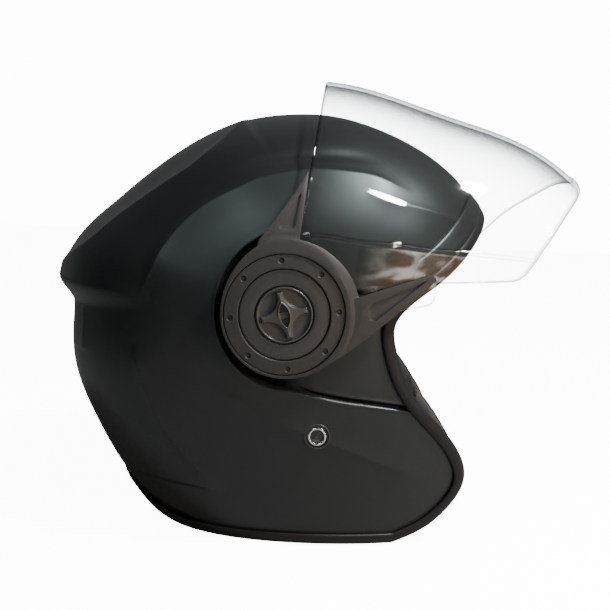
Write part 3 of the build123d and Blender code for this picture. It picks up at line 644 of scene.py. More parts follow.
def notch(x, z, line, depth, width):
    """A groove with a sudden upper edge and a long slope below it."""

    def profile(gap):
        return -depth * np.exp(-np.maximum(-gap - 0.6, 0) / width) * smooth((0.6 - gap) / 1.2)

    return along_line(x, z, line, 8 * width, 0.3, 0.25, profile)


def near(x, z, line, reach):
    """Which places are within reach of a line's box."""
    low = np.min(line, 0) - reach
    high = np.max(line, 0) + reach
    return (x > low[0]) & (x < high[0]) & (z > low[1]) & (z < high[1])


def recess(x, z):
    """Relief of the step round the hub, and the painted shade of its floor and channel."""
    lift = np.zeros(x.shape)
    shade = np.zeros(x.shape)
    close = near(x, z, RECESS_POINTS, 6)
    px, pz = x[close], z[close]
    gap, _ = track(px, pz, np.concatenate([RECESS_POINTS, RECESS_POINTS[:1]]))
    inwards = np.where(inside(px, pz, RECESS_POINTS), np.abs(gap), -np.abs(gap))
    # Nought behind the hub, one in front of it.
    front = smooth((px - 2) / 14)
    part = -(RECESS_DEPTH - RECESS_RISE * front) * smooth((inwards + 0.1) / 1.1)
    # In front the floor rises again, which leaves a narrow channel along the step.
    part += front * 1.5 * smooth((inwards - 2.1) / 1.0)
    part += 0.25 * np.exp(-(((inwards + 0.8) / 0.8) ** 2))
    part += front * 0.3 * np.exp(-(((inwards - 3.4) / 0.7) ** 2))
    lift[close] = part
    # Painted shade: darkness on the recess floor behind the hub and in the channel in front of it, where
    # shadow falls.
    floor = smooth((inwards - 0.6) / 0.8) * (1 - smooth((inwards - 6) / 3) * smooth((px + 6) / 6))
    channel_floor = front * smooth((inwards - 0.7) / 0.6) * smooth((2.6 - inwards) / 0.6)
    shade[close] = np.maximum(floor * (1 - front) * (1 - smooth((px + 2) / 14)), channel_floor)
    return lift, shade


def tail(x, y, z):
    """Lift of the ducktail, which fades out at the sides."""
    angle = np.degrees(np.arctan2(z, x)) % 360
    rise = np.clip((angle - TAIL_START) / TAIL_RUN, 0, 1) ** 1.9
    fall = smooth((TAIL_END - angle) / TAIL_FALL)
    across = np.clip(1 - (np.abs(y) / TAIL_HALF) ** 2.6, 0, 1)
    return TAIL_HEIGHT * rise * fall * across


def shell_relief(points):
    """How far the moulded surface stands off the plain bowl, and the painted shade of the recess."""
    x, y, z = points[..., 0], points[..., 1], points[..., 2]
    lift = tail(x, y, z)
    for ridge in CREASES:
        lift += crease(x, z, *ridge)
    lift += channel(x, z, PANEL_BAND, 0.7, 5, 0.2)
    lift += channel(x, z, UPPER_BAND, 0.9, 3.2, 0.3)
    lift += notch(x, z, UPPER_NOTCH, 1.4, 5)
    lift += notch(x, z, LOWER_NOTCH, 1.2, 4)
    step, shade = recess(x, z)
    return lift + step, shade


def stretches(stops, steps):
    """Places from the first stop to the last, each stretch with its own step."""
    parts = [np.arange(a, b - c / 2, c) for a, b, c in zip(stops, stops[1:], steps)]
    return np.concatenate(parts + [[stops[-1]]])


def build_shell():
    rough = 1.0
    angles = stretches([-50, 20, 310], [0.22 * rough, 0.45 * rough])[:-1]
    swings = stretches([-86, -58, 58, 86], [0.22 * rough, 0.55 * rough, 0.22 * rough])
    angle, swing = np.meshgrid(angles, swings, indexing="ij")
    points = bowl_point(SHELL, 0, angle, swing)
    lift, shade = shell_relief(points)
    points = (points + grid_normals(points) * lift[..., None]).reshape(-1, 3)
    faces = grid_faces(len(angles), len(swings), wrap_rows=True)
    centres = points[faces].mean(1)
    kept = faces[inside(centres[:, 0], centres[:, 2], edge_region(SHELL_INSET))]
    used, renumbered = np.unique(kept, return_inverse=True)
    points = points[used]
    faces = renumbered.reshape(kept.shape)
    shell = make_object("shell_surface", points, faces, PAINT, "helmet")
    # The painted shade of the recess goes to the material as the shade attribute.
    add_tone(shell, "shade", shade.reshape(-1)[used])
    thick = shell.modifiers.new("thickness", "SOLIDIFY")
    thick.thickness = SHELL_WALL / 1000
    thick.offset = -face_sign(points, faces)
    dress(shell, "shell_paint", "outer_shell")


def face_sign(points, faces):
    """One if the faces look away from the hub line, or else minus one."""
    a, b, c = points[faces[len(faces) // 2][:3]]
    return float(np.sign(np.dot(np.cross(b - a, c - a), a)))


build_shell()

# Edge trim and brow rim --------------------


def build_trim():
    # Inset from the shell's edge and distance out from its surface, round the section.
    section = [
        (7.0, 0.2), (6.9, 1.0), (6.4, 1.6), (5.4, 1.9), (3.8, 2.0), (2.2, 2.0), (1.1, 1.7), (0.35, 1.0),
        (0.0, 0.0), (0.0, -2.2), (0.1, -4.2), (0.6, -5.2), (1.6, -5.7), (3.5, -5.8), (6.4, -5.8),
        (6.9, -5.0), (6.9, -2.0),
    ]
    loops = []
    for inset, grow in section:
        half, other = edge_curve(inset, grow, 520)
        loops.append(np.concatenate([half, other]))
    faces = grid_faces(len(section), len(loops[0]), wrap_rows=True, wrap_columns=True)
    trim = make_object("trim_bead", np.array(loops), faces[:, ::-1], RUBBER, "helmet")
    dress(trim, "edge_rubber", "edge_trim")


def build_rim():
    """Moulded lip over the brow, above the trim."""
    section = [
        (18.6, -0.3), (18.5, 0.7), (18.0, 1.3), (16.6, 1.6), (13.0, 1.7), (9.5, 2.0), (7.6, 2.2), (6.6, 1.9),
        (6.2, 1.0), (6.2, -0.3),
    ]
    strips = []
    for inset, grow in section:
        half, _ = edge_curve(inset, grow, 2400)
        stop = int(np.argmax(half[:, 0] < 67 + 0.35 * (inset - 6)))
        half = resample(half[:stop], 200)
        half[0, 1] = 0
        strips.append(np.concatenate([half[::-1], half[1:] * MIRROR]))
    faces = grid_faces(len(section), len(strips[0]), wrap_rows=True)
    rim = make_object("brow_lip", np.array(strips), faces, PAINT, "helmet", close=True)
    dress(rim, "textured_plastic", "brow_rim")


build_trim()
build_rim()

# Visor -------------------------------------

VISOR_EDGE = spline([
    (215, 100), (196, 86), (181, 74), (175, 66), (161.8, 54.2), (148.3, 40.2), (137, 27.5), (132, 21.5)
], 0.5)
VISOR_FLAP = spline([(132, 21.5), (128.5, 17.6), (123.5, 15.6), (118, 15.4)], 0.3)
VISOR_LOW = [(79.9, 15.5), (79.2, 6.6), (77, 4.2), (63, 1.6), (40, -10)]
VISOR_REGION = np.concatenate(
    [VISOR_EDGE, VISOR_FLAP[1:], VISOR_LOW, [(10, -20), (-30, 0), (-30, 300), (300, 300)]]
)
VISOR_CREASE = spline([
    (8.6, 41), (15.9, 41.1), (22.4, 40.7), (32, 38.8), (41.9, 37.3), (60.2, 35.5), (76.1, 33.3),
    (97.9, 30.9), (114.7, 29.1), (134.9, 26.4)
], 1)


VISOR_TOP = 79.9
VISOR_WALL = 2.3
VISOR_LIP = 1.0


def visor_column(across, first, last):
    """Angles down the visor at a distance across, and where they lie in the side view."""
    angles = np.arange(first, last, -0.05)
    share = (1 - min(1, abs(across) / VISOR_HALF) ** FULLNESS) ** (1 / FULLNESS)
    reach = VISOR[0](angles) * share
    return angles, reach * np.cos(np.radians(angles)), reach * np.sin(np.radians(angles))


def lower_angle(across):
    """Angle round the hub at which the visor ends, at a distance across."""
    angles, x, z = visor_column(across, 60, -12)
    kept = inside(x, z, VISOR_REGION)
    return angles[-1] if kept.all() else angles[int(np.argmin(kept))]


def crease_angle(across, low):
    """Angle round the hub at which the visor's crease crosses a column of the sheet."""
    angles, x, z = visor_column(across, VISOR_TOP - 0.4, low)
    gap, _ = track(x, z, VISOR_CREASE)
    return angles[int(np.argmin(np.abs(gap)))]


def visor_angles(across, rows):
    """Angles of every column from the top edge to the low edge, close together at the crease."""
    columns = []
    fine = 0.9
    spare = fine + 0.5
    count = rows // 3
    for value in across:
        low = lower_angle(value)
        middle = np.clip(crease_angle(value, low), low + spare, VISOR_TOP - spare)
        upper = np.linspace(VISOR_TOP, middle + fine, rows - 2 * count, endpoint=False)
        near_crease = np.linspace(middle + fine, middle - fine, count, endpoint=False)
        lower = np.linspace(middle - fine, low, count)
        columns.append(np.concatenate([upper, near_crease, lower]))
    return np.array(columns).T


def build_visor():
    columns = 321
    rows = 171
    swing = np.linspace(-84.5, 84.5, columns)
    across = VISOR_HALF * np.sign(swing) * np.abs(np.sin(np.radians(swing))) ** (2 / FULLNESS)
    angle = visor_angles(across, rows)
    middle = bowl_point(VISOR, 0, angle, np.broadcast_to(swing, angle.shape))
    normals = grid_normals(middle, wrap=False)
    gap, along = track(middle[..., 0], middle[..., 2], VISOR_CREASE)
    shown = smooth(along / 0.05)
    bead = np.exp(-(((np.abs(gap) - 0.9) / 0.45) ** 2))
    ridge = (1.0 * np.exp(-np.abs(gap) / 6) + 0.3 * bead) * shown
    edge_gap, _ = track(middle[..., 0], middle[..., 2], VISOR_EDGE)
    lip = smooth((5.5 - np.abs(edge_gap)) / 1.5)
    # Soft corners at every free edge. Painted shade greys the sheet there and along the crease's bead, for
    # light that runs along inside the sheet.
    rim_gap = 1.5 * np.minimum(angle[:1] - angle, angle - angle[-1:])
    soften = 0.6 * np.clip(1 - rim_gap / 0.8, 0, 1)
    grey = np.maximum(smooth(1.3 - rim_gap), 0.45 * bead * shown).ravel()
    outer = middle + normals * (ridge + VISOR_LIP * lip - soften)[..., None]
    inner = middle + normals * (ridge - VISOR_WALL + soften)[..., None]
    faces = grid_faces(rows, columns)
    count = rows * columns
    # The rim of the grid, once round, joins the outer skin to the inner one.
    index = np.arange(count).reshape(rows, columns)
    loop = np.concatenate([index[0], index[1:, -1], index[-1, -2::-1], index[-2:0:-1, 0]])
    following = np.roll(loop, -1)
    edges = np.stack([following, loop, loop + count, following + count], -1)
    faces = np.concatenate([faces, faces[:, ::-1] + count, edges])
    visor = make_object("visor_sheet", np.stack([outer, inner]), faces, CLEAR, "visor")
    # The grey attribute carries the painted shade of the edges and the crease bead.
    add_tone(visor, "grey", np.concatenate([grey, grey]))
    dress(visor, "clear_sheet", "visor")


build_visor()

# Hub stack and rivets ----------------------

SIDES = (("right", -1), ("left", 1))
RING_BORE = 24.1
RING_SLOPE = 0.085
DIMPLE_CIRCLE = 28.4
DIMPLE_START = 3
DIMPLE_DEPTH = 1.1
KNOB_FACE = 124.7
GRIP_TILT = radians(13)
GRIP_HEIGHT = 1.9
GRIP_REACH = 12.7
# The four round cuts that leave the grip's arms: how far out they lie, and their radius.
CUT_PLACE = 16.02
CUT_RADIUS = 9.42
# The two circles whose overlap is the eye shaped slot.
EYE_PLACE = 6.44
EYE_RADIUS = 8.94
RIVET = (17.2, -67.0)


def rings(radii, count):
    """Side view places round the hub line, one row for each radius."""
    turn = np.linspace(0, 2 * np.pi, count, endpoint=False)
    return radii[:, None] * np.cos(turn), radii[:, None] * np.sin(turn)


def disc_surface(name, radii, heights, side, material, body, centre=(0, 0)):
    """A round piece from rings of heights, each ring one row, closed over its ends."""
    count = heights.shape[1]
    x, z = rings(radii, count)
    points = np.stack([centre[0] + x, side * heights, centre[1] + z], -1)
    faces = grid_faces(len(radii), count, wrap_columns=True)
    return make_object(name, points, faces, material, body, close=True)


def lathe(name, profile, side, material, body, centre=(0, 0), count=128):
    """A turned piece from a line of (radius, distance) points."""
    profile = np.array(profile, float)
    heights = np.repeat(profile[:, 1:], count, axis=1)
    return disc_surface(name, profile[:, 0], heights, side, material, body, centre)


def build_ring(side_name, side):
    """Ring with eight round dimples."""
    top = np.arange(24.6, 31.3, 0.22)
    radii = np.concatenate([[RING_BORE, RING_BORE, 24.25], top, [31.55, 31.75, 31.8, 31.8, RING_BORE]])
    plain = np.concatenate([[123.1, 125.6, 125.9], 0 * top + 126.0, [125.9, 125.6, 125.2, 123.1, 123.1]])
    count = 800
    x, z = rings(radii, count)
    heights = np.repeat(plain[:, None], count, axis=1)
    heights -= RING_SLOPE * np.maximum(radii - RING_BORE, 0)[:, None] * (heights > 124)
    upper = (radii > 24.5) & (radii < 31.4)
    for dimple in range(8):
        angle = radians(DIMPLE_START + 45 * dimple)
        gap = np.hypot(x - DIMPLE_CIRCLE * cos(angle), z - DIMPLE_CIRCLE * sin(angle))[upper]
        heights[upper] += 0.08 * np.exp(-(((gap - 1.75) / 0.3) ** 2))
        heights[upper] -= DIMPLE_DEPTH * smooth((1.6 - gap) / 0.5)
    ring = disc_surface("dimpled_ring_" + side_name, radii, heights, side, GRAINED, "visor")
    dress(ring, "textured_plastic", "cover_ring_" + side_name)


def build_disc(side_name, side):
    """Smooth collar round the knob, slightly domed."""
    profile = [
        (15.5, 123.4), (15.5, 125.0), (15.7, 125.3), (16.1, 125.4), (19, 125.3), (22.6, 125.1),
        (23.3, 125.0), (23.75, 124.7), (23.85, 124.3), (23.85, 123.4), (15.5, 123.4),
    ]
    disc = lathe("collar_" + side_name, profile, side, BLACK, "visor", count=160)
    dress(disc, "black_plastic", "inner_disc_" + side_name)


def grip_height(x, z):
    """Height of the knob's face: a four pointed ridged grip with a slot across its middle."""
    u = x * cos(GRIP_TILT) + z * sin(GRIP_TILT)
    v = z * cos(GRIP_TILT) - x * sin(GRIP_TILT)
    across = CUT_PLACE * cos(radians(45))
    corner = np.hypot(np.abs(u) - across, np.abs(v) - across)
    depth = np.minimum(corner - CUT_RADIUS, GRIP_REACH - np.hypot(u, v))
    height = KNOB_FACE + GRIP_HEIGHT * smooth(depth / 0.8) + 0.26 * np.clip(depth, 0, 4)
    eye = EYE_RADIUS - np.hypot(np.abs(u) + EYE_PLACE, v)
    floor = 124.9 + 1.5 * smooth((2.0 - np.abs(v)) / 0.4)
    lip = 0.25 * np.exp(-(((eye + 0.5) / 0.4) ** 2)) * smooth(depth)
    share = smooth(eye / 0.5 + 0.5)
    return (height + lip) * (1 - share) + floor * share


def build_knob(side_name, side):
    step = 0.16
    face = np.arange(step, 13.3, step)
    count = 480
    inner = grip_height(*rings(face, count))
    inner[face > 12.9] = KNOB_FACE
    rim = np.array([
        (13.45, 124.9), (13.6, 125.5), (13.75, 126.0), (13.95, 126.2), (14.3, 126.25), (14.6, 126.1),
        (14.75, 125.8), (14.8, 125.4), (14.8, 123.6), (14.6, 123.5), (8, 123.5), (0.3, 123.5),
    ])
    radii = np.concatenate([face, rim[:, 0]])
    heights = np.concatenate([inner, np.repeat(rim[:, 1:], count, axis=1)])
    body = "lock_knob_" + side_name
    knob = disc_surface("release_knob_" + side_name, radii, heights, side, KNOB, body)
    dress(knob, "knob_plastic", body)


def build_rivet(side_name, side):
    """Bright ring in a dark cup, with a ribbed black button in its middle."""
    ring = [
        (0, 103.7), (3, 103.7), (3, 113.4), (5.1, 113.4), (5.15, 115.2), (5.0, 115.7), (4.7, 116.0),
        (4.2, 116.05), (3.8, 115.85), (3.6, 115.4), (3.55, 114.6), (0, 114.6),
    ]
    bright = lathe("strap_stud_" + side_name, ring, side, CHROME, "helmet", RIVET)
    dress(bright, "chrome_ring", "strap_rivet_" + side_name)
    cup = [
        (3.1, 110.7), (6.9, 110.7), (6.95, 115.2), (6.8, 115.6), (6.5, 115.65), (6.2, 115.4), (5.8, 114.4),
        (5.5, 113.6), (3.1, 113.35), (3.1, 110.7),
    ]
    dark = lathe("stud_cup_" + side_name, cup, side, BLACK, "helmet", RIVET)
    dress(dark, "black_plastic", "rivet_cup_" + side_name)
    radii = np.concatenate([[0, 3.5], np.arange(3.5, 0.1, -0.1), [0]])
    heights = 115.15 + 0.12 * np.cos(radii * 2 * np.pi / 0.8) - 0.03 * radii
    heights[:2] = 114.7
    button = np.stack([radii, heights], -1)
    middle = lathe("stud_button_" + side_name, button, side, BLACK, "helmet", RIVET, 48)
    dress(middle, "black_plastic")


for side_label, side_sign in SIDES:
    build_ring(side_label, side_sign)
    build_disc(side_label, side_sign)
    build_knob(side_label, side_sign)
    build_rivet(side_label, side_sign)

# Chin strap --------------------------------

STRAP_LEVEL = -121.5
STRAP_BACK = 7.2
STRAP_WIDTH = 20.0
STRAP_STEP = 0.5


def strap_path(loop_at, columns):
    """Middle surface of one strap half: down the inside of the shell, across, and back round its bar."""
    heights = np.arange(-57, -112, -STRAP_STEP)
    x = np.linspace(STRAP_BACK, STRAP_BACK + STRAP_WIDTH, columns)
    across, upright = np.meshgrid(x, heights)
    down = np.stack([across, -bowl_side(SHELL, -5.6, across, upright), upright], -1)
    turn = down[-1, :, 1].mean()
    # Distance across and height above the level stretch: round the corner, along, over the bar, back.
    points = np.array([
        (turn, 9.5), (turn + 2.2, 4.0), (-92, 0.8), (-85, 0.65), (-60, 0.65), (-loop_at - 9, 0.65),
        (-loop_at - 4, 1.3), (-loop_at, 2.2), (-loop_at + 2.2, 0), (-loop_at, -2.2), (-loop_at - 4, -1.3),
        (-loop_at - 9, -0.65), (-loop_at - 21, -0.65),
    ])
    line = spline(points + [0, STRAP_LEVEL], STRAP_STEP)[1:]
    rest = np.empty((len(line), columns, 3))
    rest[..., 0] = x
    rest[..., 1:] = line[:, None]
    # The first stretch still carries the twist of the bowl and loses it towards the level.
    twist = down[-1, :, 1] - turn
    rest[..., 1] += twist * (1 - smooth(np.arange(len(line)) / 24))[:, None]
    return np.concatenate([down, rest])


def build_strap(side_name, side, loop_at, body):
    """Flat woven ribbon with ribs, thicker selvedges and a box of stitches behind its loop."""
    columns = 51
    middle = strap_path(loop_at, columns)
    normal = np.cross(np.gradient(middle, axis=0), np.gradient(middle, axis=1))
    normal /= np.linalg.norm(normal, axis=-1, keepdims=True)
    row, column = np.meshgrid(np.arange(len(middle)), np.arange(columns), indexing="ij")
    run = row * STRAP_STEP
    place = column / (columns - 1)
    edge = np.minimum(place, 1 - place) * STRAP_WIDTH
    ribs = 0.07 * np.cos(run * 2 * np.pi / 1.5 + np.pi * np.floor(place * STRAP_WIDTH / 1.6))
    selvedge = 0.12 * np.exp(-(((edge - 0.9) / 0.5) ** 2))
    thick = 0.5 * np.clip(edge / 0.4, 0.15, 1) ** 0.5 + selvedge + ribs * (edge > 1.2)
    stitches = 0.16 * (np.cos(place * STRAP_WIDTH * 2 * np.pi / 1.7) > -0.2) * (edge > 1.5)
    for before_end in (14.0, 24.5, 29.0, 39.5):
        thick += stitches * (np.abs(run - run.max() + before_end) < 0.5)
    upper = middle + normal * thick[..., None]
    lower = middle - normal * thick[..., None]
    loop = np.concatenate([upper, lower[:, ::-1]], axis=1)
    loop[..., 1] *= -side
    faces = grid_faces(loop.shape[0], loop.shape[1], wrap_columns=True)
    strap = make_object("strap_webbing_" + side_name, loop, faces, WEBBING, body, close=True)
    dress(strap, "webbing", "chin_strap_" + side_name)
    return strap


build_strap("left", 1, 27.5, "helmet")
right_strap = build_strap("right", -1, 31.0, None)
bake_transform(right_strap)

# Padding -----------------------------------

PUFF_PRESSURE = 4.0
PUFF_FRAMES = 20
PAD_SHRINK = 0.0016
VOXEL = 0.0035
CHEEK_SEAM = [
    (-4, -112), (-4, -66), (60, -66), (66, -60), (74, -66), (86, -84), (86, -96), (76, -110), (52, -115)
]
CHEEK_MIDDLE = [(40, -66), (44, -84), (38, -115)]
TEMPLE_SEAM = [(18, -50), (18, 14), (44, 14), (55, 0), (56, -20), (62, -34)]
NAPE_SEAM = [(-22, -104), (-60, -104), (-100, -102), (-150, -100)]
CROWN_SEAM = [(-150, 40), (-60, 40), (30, 40)]


def copy_of(node_name, name):
    """A new object with a copy of a node's mesh, in the row frame."""
    source = NODES[node_name]
    mesh = source.data.copy()
    mesh.transform(source.matrix_world)
    mesh.materials.clear()
    mesh.materials.append(FABRIC)
    return add_object(name, mesh)


def apply_modifiers(obj):
    graph = bpy.context.evaluated_depsgraph_get()
    mesh = bpy.data.meshes.new_from_object(obj.evaluated_get(graph))
    obj.modifiers.clear()
    old = obj.data
    obj.data = mesh
    bpy.data.meshes.remove(old)


def vectors(collection, field):
    values = np.empty(len(collection) * 3)
    collection.foreach_get(field, values)
    return values.reshape(-1, 3)


def coordinates(obj):
    return vectors(obj.data.vertices, "co")


def set_coordinates(obj, points):
    obj.data.vertices.foreach_set("co", points.ravel())
    obj.data.update()


def press_in(pad, depth):
    """Push a pad's surface inwards by a depth in metres, one for all points or one for each."""
    normals = vectors(pad.data.vertex_normals, "vector")
    set_coordinates(pad, coordinates(pad) - normals * np.reshape(depth, (-1, 1)))


def inflate(pad, rounds, cap):
    """Remesh a pad, round its edges, blow it up as cloth, and keep the swelling within the cap."""
    remesh = pad.modifiers.new("remesh", "REMESH")
    remesh.mode = "VOXEL"
    remesh.voxel_size = VOXEL
    apply_modifiers(pad)
    soften = pad.modifiers.new("soften", "SMOOTH")
    soften.factor = 0.6
    soften.iterations = rounds
    apply_modifiers(pad)
    press_in(pad, PAD_SHRINK)
    start = coordinates(pad)
    cloth = pad.modifiers.new("cloth", "CLOTH")
    cloth.settings.use_pressure = True
    cloth.settings.uniform_pressure_force = PUFF_PRESSURE
    cloth.settings.effector_weights.gravity = 0
    scene = bpy.context.scene
    for step in range(1, PUFF_FRAMES + 1):
        scene.frame_set(step)
    apply_modifiers(pad)
    scene.frame_set(1)
    moved = coordinates(pad) - start
    length = np.maximum(np.linalg.norm(moved, axis=1, keepdims=True), 1e-9)
    set_coordinates(pad, start + moved * np.minimum(1, cap / length))
    smoother = pad.modifiers.new("fine", "SUBSURF")
    smoother.levels = 1
    smoother.render_levels = 1
    apply_modifiers(pad)


def in_side_view(points):
    """From the row frame in metres to the side view frame in millimetres."""
    x = points[:, 0] * 1000 - HUB_X
    z = points[:, 2] * 1000 - HUB_Z
    forward = x * cos(PITCH) + z * sin(PITCH)
    return forward, points[:, 1] * 1000, z * cos(PITCH) - x * sin(PITCH)


def sew(pad, seams, depth, width):
    """Press seam lines, drawn in the side view, into a pad."""
    x, _, z = in_side_view(coordinates(pad))
    press = np.zeros(len(x))
    for seam in seams:
        gap, _ = track(x, z, seam)
        press = np.maximum(press, np.exp(-((gap / width) ** 2)))
    press_in(pad, press * depth / 1000)


def quilt(pad, spacing, depth, width):
    """Press upright channels across a pad that spans the helmet."""
    _, across, _ = in_side_view(coordinates(pad))
    gap = np.abs((across + spacing / 2) % spacing - spacing / 2)
    press_in(pad, np.exp(-((gap / width) ** 2)) * depth / 1000)


def finish_pad(pad, node_name):
    pad.data.polygons.foreach_set("use_smooth", np.ones(len(pad.data.polygons), bool))
    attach(pad, "helmet")
    dress(pad, "lining_fabric", node_name)


def build_pad(name, node_name, rounds, cap, quilting, seams, pressed):
    """One pad: puffed up, quilted by spacing, depth and width, and sewn by depth and width."""
    pad = copy_of(node_name, name)
    inflate(pad, rounds, cap)
    if quilting:
        quilt(pad, *quilting)
    if seams:
        sew(pad, seams, *pressed)
    finish_pad(pad, node_name)
    return pad


def build_pair(name, node_name, rounds, cap, seams, pressed):
    """A pad on the wearer's right and its mirror image on the left."""
    pad = build_pad(name + "_right", node_name + "_right", rounds, cap, None, seams, pressed)
    other = add_object(name + "_left", pad.data.copy())
    set_coordinates(other, coordinates(other) * MIRROR)
    other.data.flip_normals()
    finish_pad(other, node_name + "_left")


def build_pads():
    build_pad("crown_lining", "crown_pad", 5, 0.0026, (34, 2.6, 2.2), [CROWN_SEAM], (1.6, 1.6))
    build_pad("brow_lining", "brow_pad", 5, 0.0026, (24, 1.8, 1.8), None, None)
    build_pad("neck_lining", "neck_roll", 8, 0.0032, (46, 2.4, 2.2), [NAPE_SEAM], (1.6, 1.6))
    build_pair("temple_lining", "temple_pad", 5, 0.0028, [TEMPLE_SEAM], (1.4, 1.3))
    build_pair("cheek_lining", "cheek_pad", 16, 0.0045, [CHEEK_SEAM, CHEEK_MIDDLE], (1.6, 1.5))


build_pads()

# CAD pieces kept as they are ---------------

FINISH = {
    "eps_liner": (FOAM, "foam", 0),
    "buckle_housing": (NICKEL, "buckle_steel", 0.0003),
    "buckle_lever": (RED, "lever_paint", 0.0004),
    "lever_pin": (NICKEL, "buckle_steel", 0.0002),
    "lever_spring": (STEEL, "buckle_steel", 0.0002),
    "buckle_tongue": (NICKEL, "buckle_steel", 0.0002),
    "rivet_washer": (STEEL, "fastener_steel", 0.0002),
    "base_plate": (BLACK, "black_plastic", 0.0003),
    "base_screws": (STEEL, "fastener_steel", 0.0002),
    "hub_bolt": (STEEL, "fastener_steel", 0.0003),
    "hub_nut": (STEEL, "fastener_steel", 0.0003),
    "click_spring": (STEEL, "fastener_steel", 0.0001),
    "ratchet_plate": (ACETAL, "slippery_plastic", 0.0002),
    "side_cover": (GRAINED, "textured_plastic", 0.0006),
}


def finish_node(name, obj):
    """Give a CAD piece that stays its material and soft edges."""
    for prefix, (material, slot_name, bevel) in FINISH.items():
        if name.startswith(prefix):
            obj.data.materials.clear()
            obj.data.materials.append(material)
            dress(obj, slot_name)
            if bevel:
                obj.modifiers.new("weld", "WELD").merge_threshold = 0.00001
                soft = obj.modifiers.new("bevel", "BEVEL")
                soft.width = bevel
                soft.segments = 2
                soft.limit_method = "ANGLE"
                soft.angle_limit = radians(35)


for node_name, node in NODES.items():
    if not node.hide_render:
        finish_node(node_name, node)

# Stage -------------------------------------

BACKDROP = 14.0
FLOOR_GLOW = 12.0
FLOOR_TONE = 0.2
CAMERA_PLACE = (10.7, -600.0, 59.3)
CAMERA_TILT = radians(6.49)
WORLD_LEFT = 0.06
WORLD_RIGHT = 0.13
WORLD_FAR = 0.26
BULB_POWER = 60.0
PANEL_GLOW = 10.0
SKY_POWER = 3.6
WARM_POWER = 36.0
SPARK_POWER = 3.0


def soft_step(tree, source, low, high):
    """Nought to one between two values, with soft ends."""
    step = add_node(tree, "MapRange", Value=source, From_Min=low, From_Max=high)
    step.interpolation_type = "SMOOTHSTEP"
    return step.outputs["Result"]


def seen(tree):
    """One for rays straight from the camera, also behind the visor. Nought for reflections."""
    return tree.nodes.new("ShaderNodeLightPath").outputs["Is Camera Ray"]


def build_world():
    """White behind the helmet, dim on the camera's side."""
    world = bpy.data.worlds.new("studio")
    bpy.context.scene.world = world
    world.use_nodes = True
    tree = world.node_tree
    place = add_node(tree, "TexCoord")
    split = add_node(tree, "SeparateXYZ", Vector=place.outputs["Generated"])
    side = soft_step(tree, split.outputs["X"], -0.35, 0.5)
    back = soft_step(tree, split.outputs["Y"], -0.3, 0.9)
    level = mixed(tree, back, mixed(tree, side, WORLD_LEFT, WORLD_RIGHT), WORLD_FAR)
    background = tree.nodes["Background"]
    background.inputs["Color"].default_value = (1, 1, 1, 1)
    feed(tree, background.inputs["Strength"], mixed(tree, seen(tree), level, BACKDROP))


def build_floor():
    """Plain pale floor. It stays dim in reflections, so that the lower half of the shell reads dark."""
    bpy.ops.mesh.primitive_plane_add(size=8, location=(0, 0, -0.0002))
    floor = bpy.context.object
    floor.name = "floor"
    material = principled("pale_floor", (1, 1, 1), 0.7, Emission_Color=(1, 1, 1, 1))
    tree = material.node_tree
    shader = tree.nodes["Principled BSDF"]
    eye = seen(tree)
    shade = mixed(tree, eye, (FLOOR_TONE, FLOOR_TONE, FLOOR_TONE, 1), (0.85, 0.85, 0.85, 1), "RGBA")
    feed(tree, shader.inputs["Base Color"], shade)
    feed(tree, shader.inputs["Emission Strength"], mixed(tree, eye, 0.0, FLOOR_GLOW))
    floor.data.materials.append(material)


def build_lamp(name, target, direction, distance, size, power, colour=(1, 1, 1)):
    """A round lamp in a direction from a target point, both in the side view frame."""
    data = bpy.data.lights.new(name, "AREA")
    data.shape = "DISK"
    data.size = size
    data.energy = power
    data.color = colour
    lamp = add_object(name, data)
    shift = 1000 * distance * np.array(direction) / np.linalg.norm(direction)
    middle = Vector(to_row(target))
    away = Vector(to_row(target + shift)) - middle
    lamp.location = middle + away
    lamp.rotation_mode = "QUATERNION"
    lamp.rotation_quaternion = (-away).to_track_quat("-Z", "Y")
    lamp.visible_camera = False
    return lamp


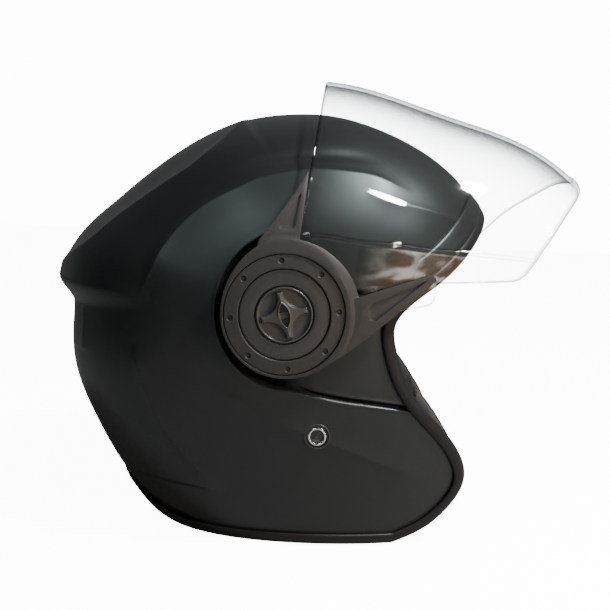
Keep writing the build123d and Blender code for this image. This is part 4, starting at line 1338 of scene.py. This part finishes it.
def build_glow():
    """A warm, streaky panel behind the camera, seen only as a reflection in the visor and the paint."""
    bpy.ops.mesh.primitive_plane_add(size=1, location=(0.52, -1.0, 0.2))
    panel = bpy.context.object
    panel.name = "warm_panel"
    panel.scale = (0.75, 0.36, 1)
    panel.rotation_euler = (radians(90), 0, radians(26))
    material = bpy.data.materials.new("warm_panel")
    material.use_nodes = True
    tree = material.node_tree
    tree.nodes.remove(tree.nodes["Principled BSDF"])
    ramp = add_node(tree, "ValToRGB", Fac=noise(material, 5.0, 3.0, (1.0, 1.0, 2.6)))
    dark, bright = ramp.color_ramp.elements
    dark.position = 0.46
    dark.color = (0.16, 0.085, 0.045, 1)
    bright.position = 0.60
    bright.color = (1.0, 0.90, 0.80, 1)
    split = add_node(tree, "SeparateXYZ", Vector=object_space(tree))
    strength = PANEL_GLOW
    for axis in ("X", "Y"):
        gap = calculate(tree, "ABSOLUTE", split.outputs[axis])
        strength = calculate(tree, "MULTIPLY", soft_step(tree, gap, 0.5, 0.175), strength)
    light = add_node(tree, "Emission", Color=ramp.outputs["Color"], Strength=strength)
    tree.links.new(light.outputs["Emission"], tree.nodes["Material Output"].inputs["Surface"])
    panel.data.materials.append(material)
    panel.visible_camera = False


def build_stage():
    build_world()
    build_floor()
    build_lamp("bulb", (56, -96, 60), (0.58, -0.24, 0.78), 1.5, 0.2, BULB_POWER)
    build_lamp("spark", (56.5, -111, 60), (0.327, -0.627, 0.707), 1.5, 0.06, SPARK_POWER)
    build_lamp("sky", (-20, -110, 55), (-0.3, -0.76, 0.58), 1.3, 0.5, SKY_POWER, (0.9, 1.0, 1.0))
    amber = (1.0, 0.78, 0.58)
    warm = build_lamp("warm_side", (20, -115, 0), (0.86, -0.5, -0.05), 1.0, 0.4, WARM_POWER, amber)
    warm.visible_glossy = False
    build_glow()


def build_camera():
    """Level with the top of the shell, a short way off the right side, looking slightly down."""
    across = np.array([0, 1, 0])
    right = np.array([cos(PITCH), 0, sin(PITCH)])
    hub_up = np.array([-sin(PITCH), 0, cos(PITCH)])
    ahead = cos(CAMERA_TILT) * across - sin(CAMERA_TILT) * hub_up
    up = sin(CAMERA_TILT) * across + cos(CAMERA_TILT) * hub_up
    data = bpy.data.cameras.new("camera")
    data.sensor_width = 36
    data.lens = 54.48
    camera = add_object("camera", data)
    columns = np.column_stack([right, up, -ahead, to_row(CAMERA_PLACE)])
    camera.matrix_world = Matrix(np.vstack([columns, (0, 0, 0, 1)]))
    bpy.context.scene.camera = camera


build_stage()
build_camera()
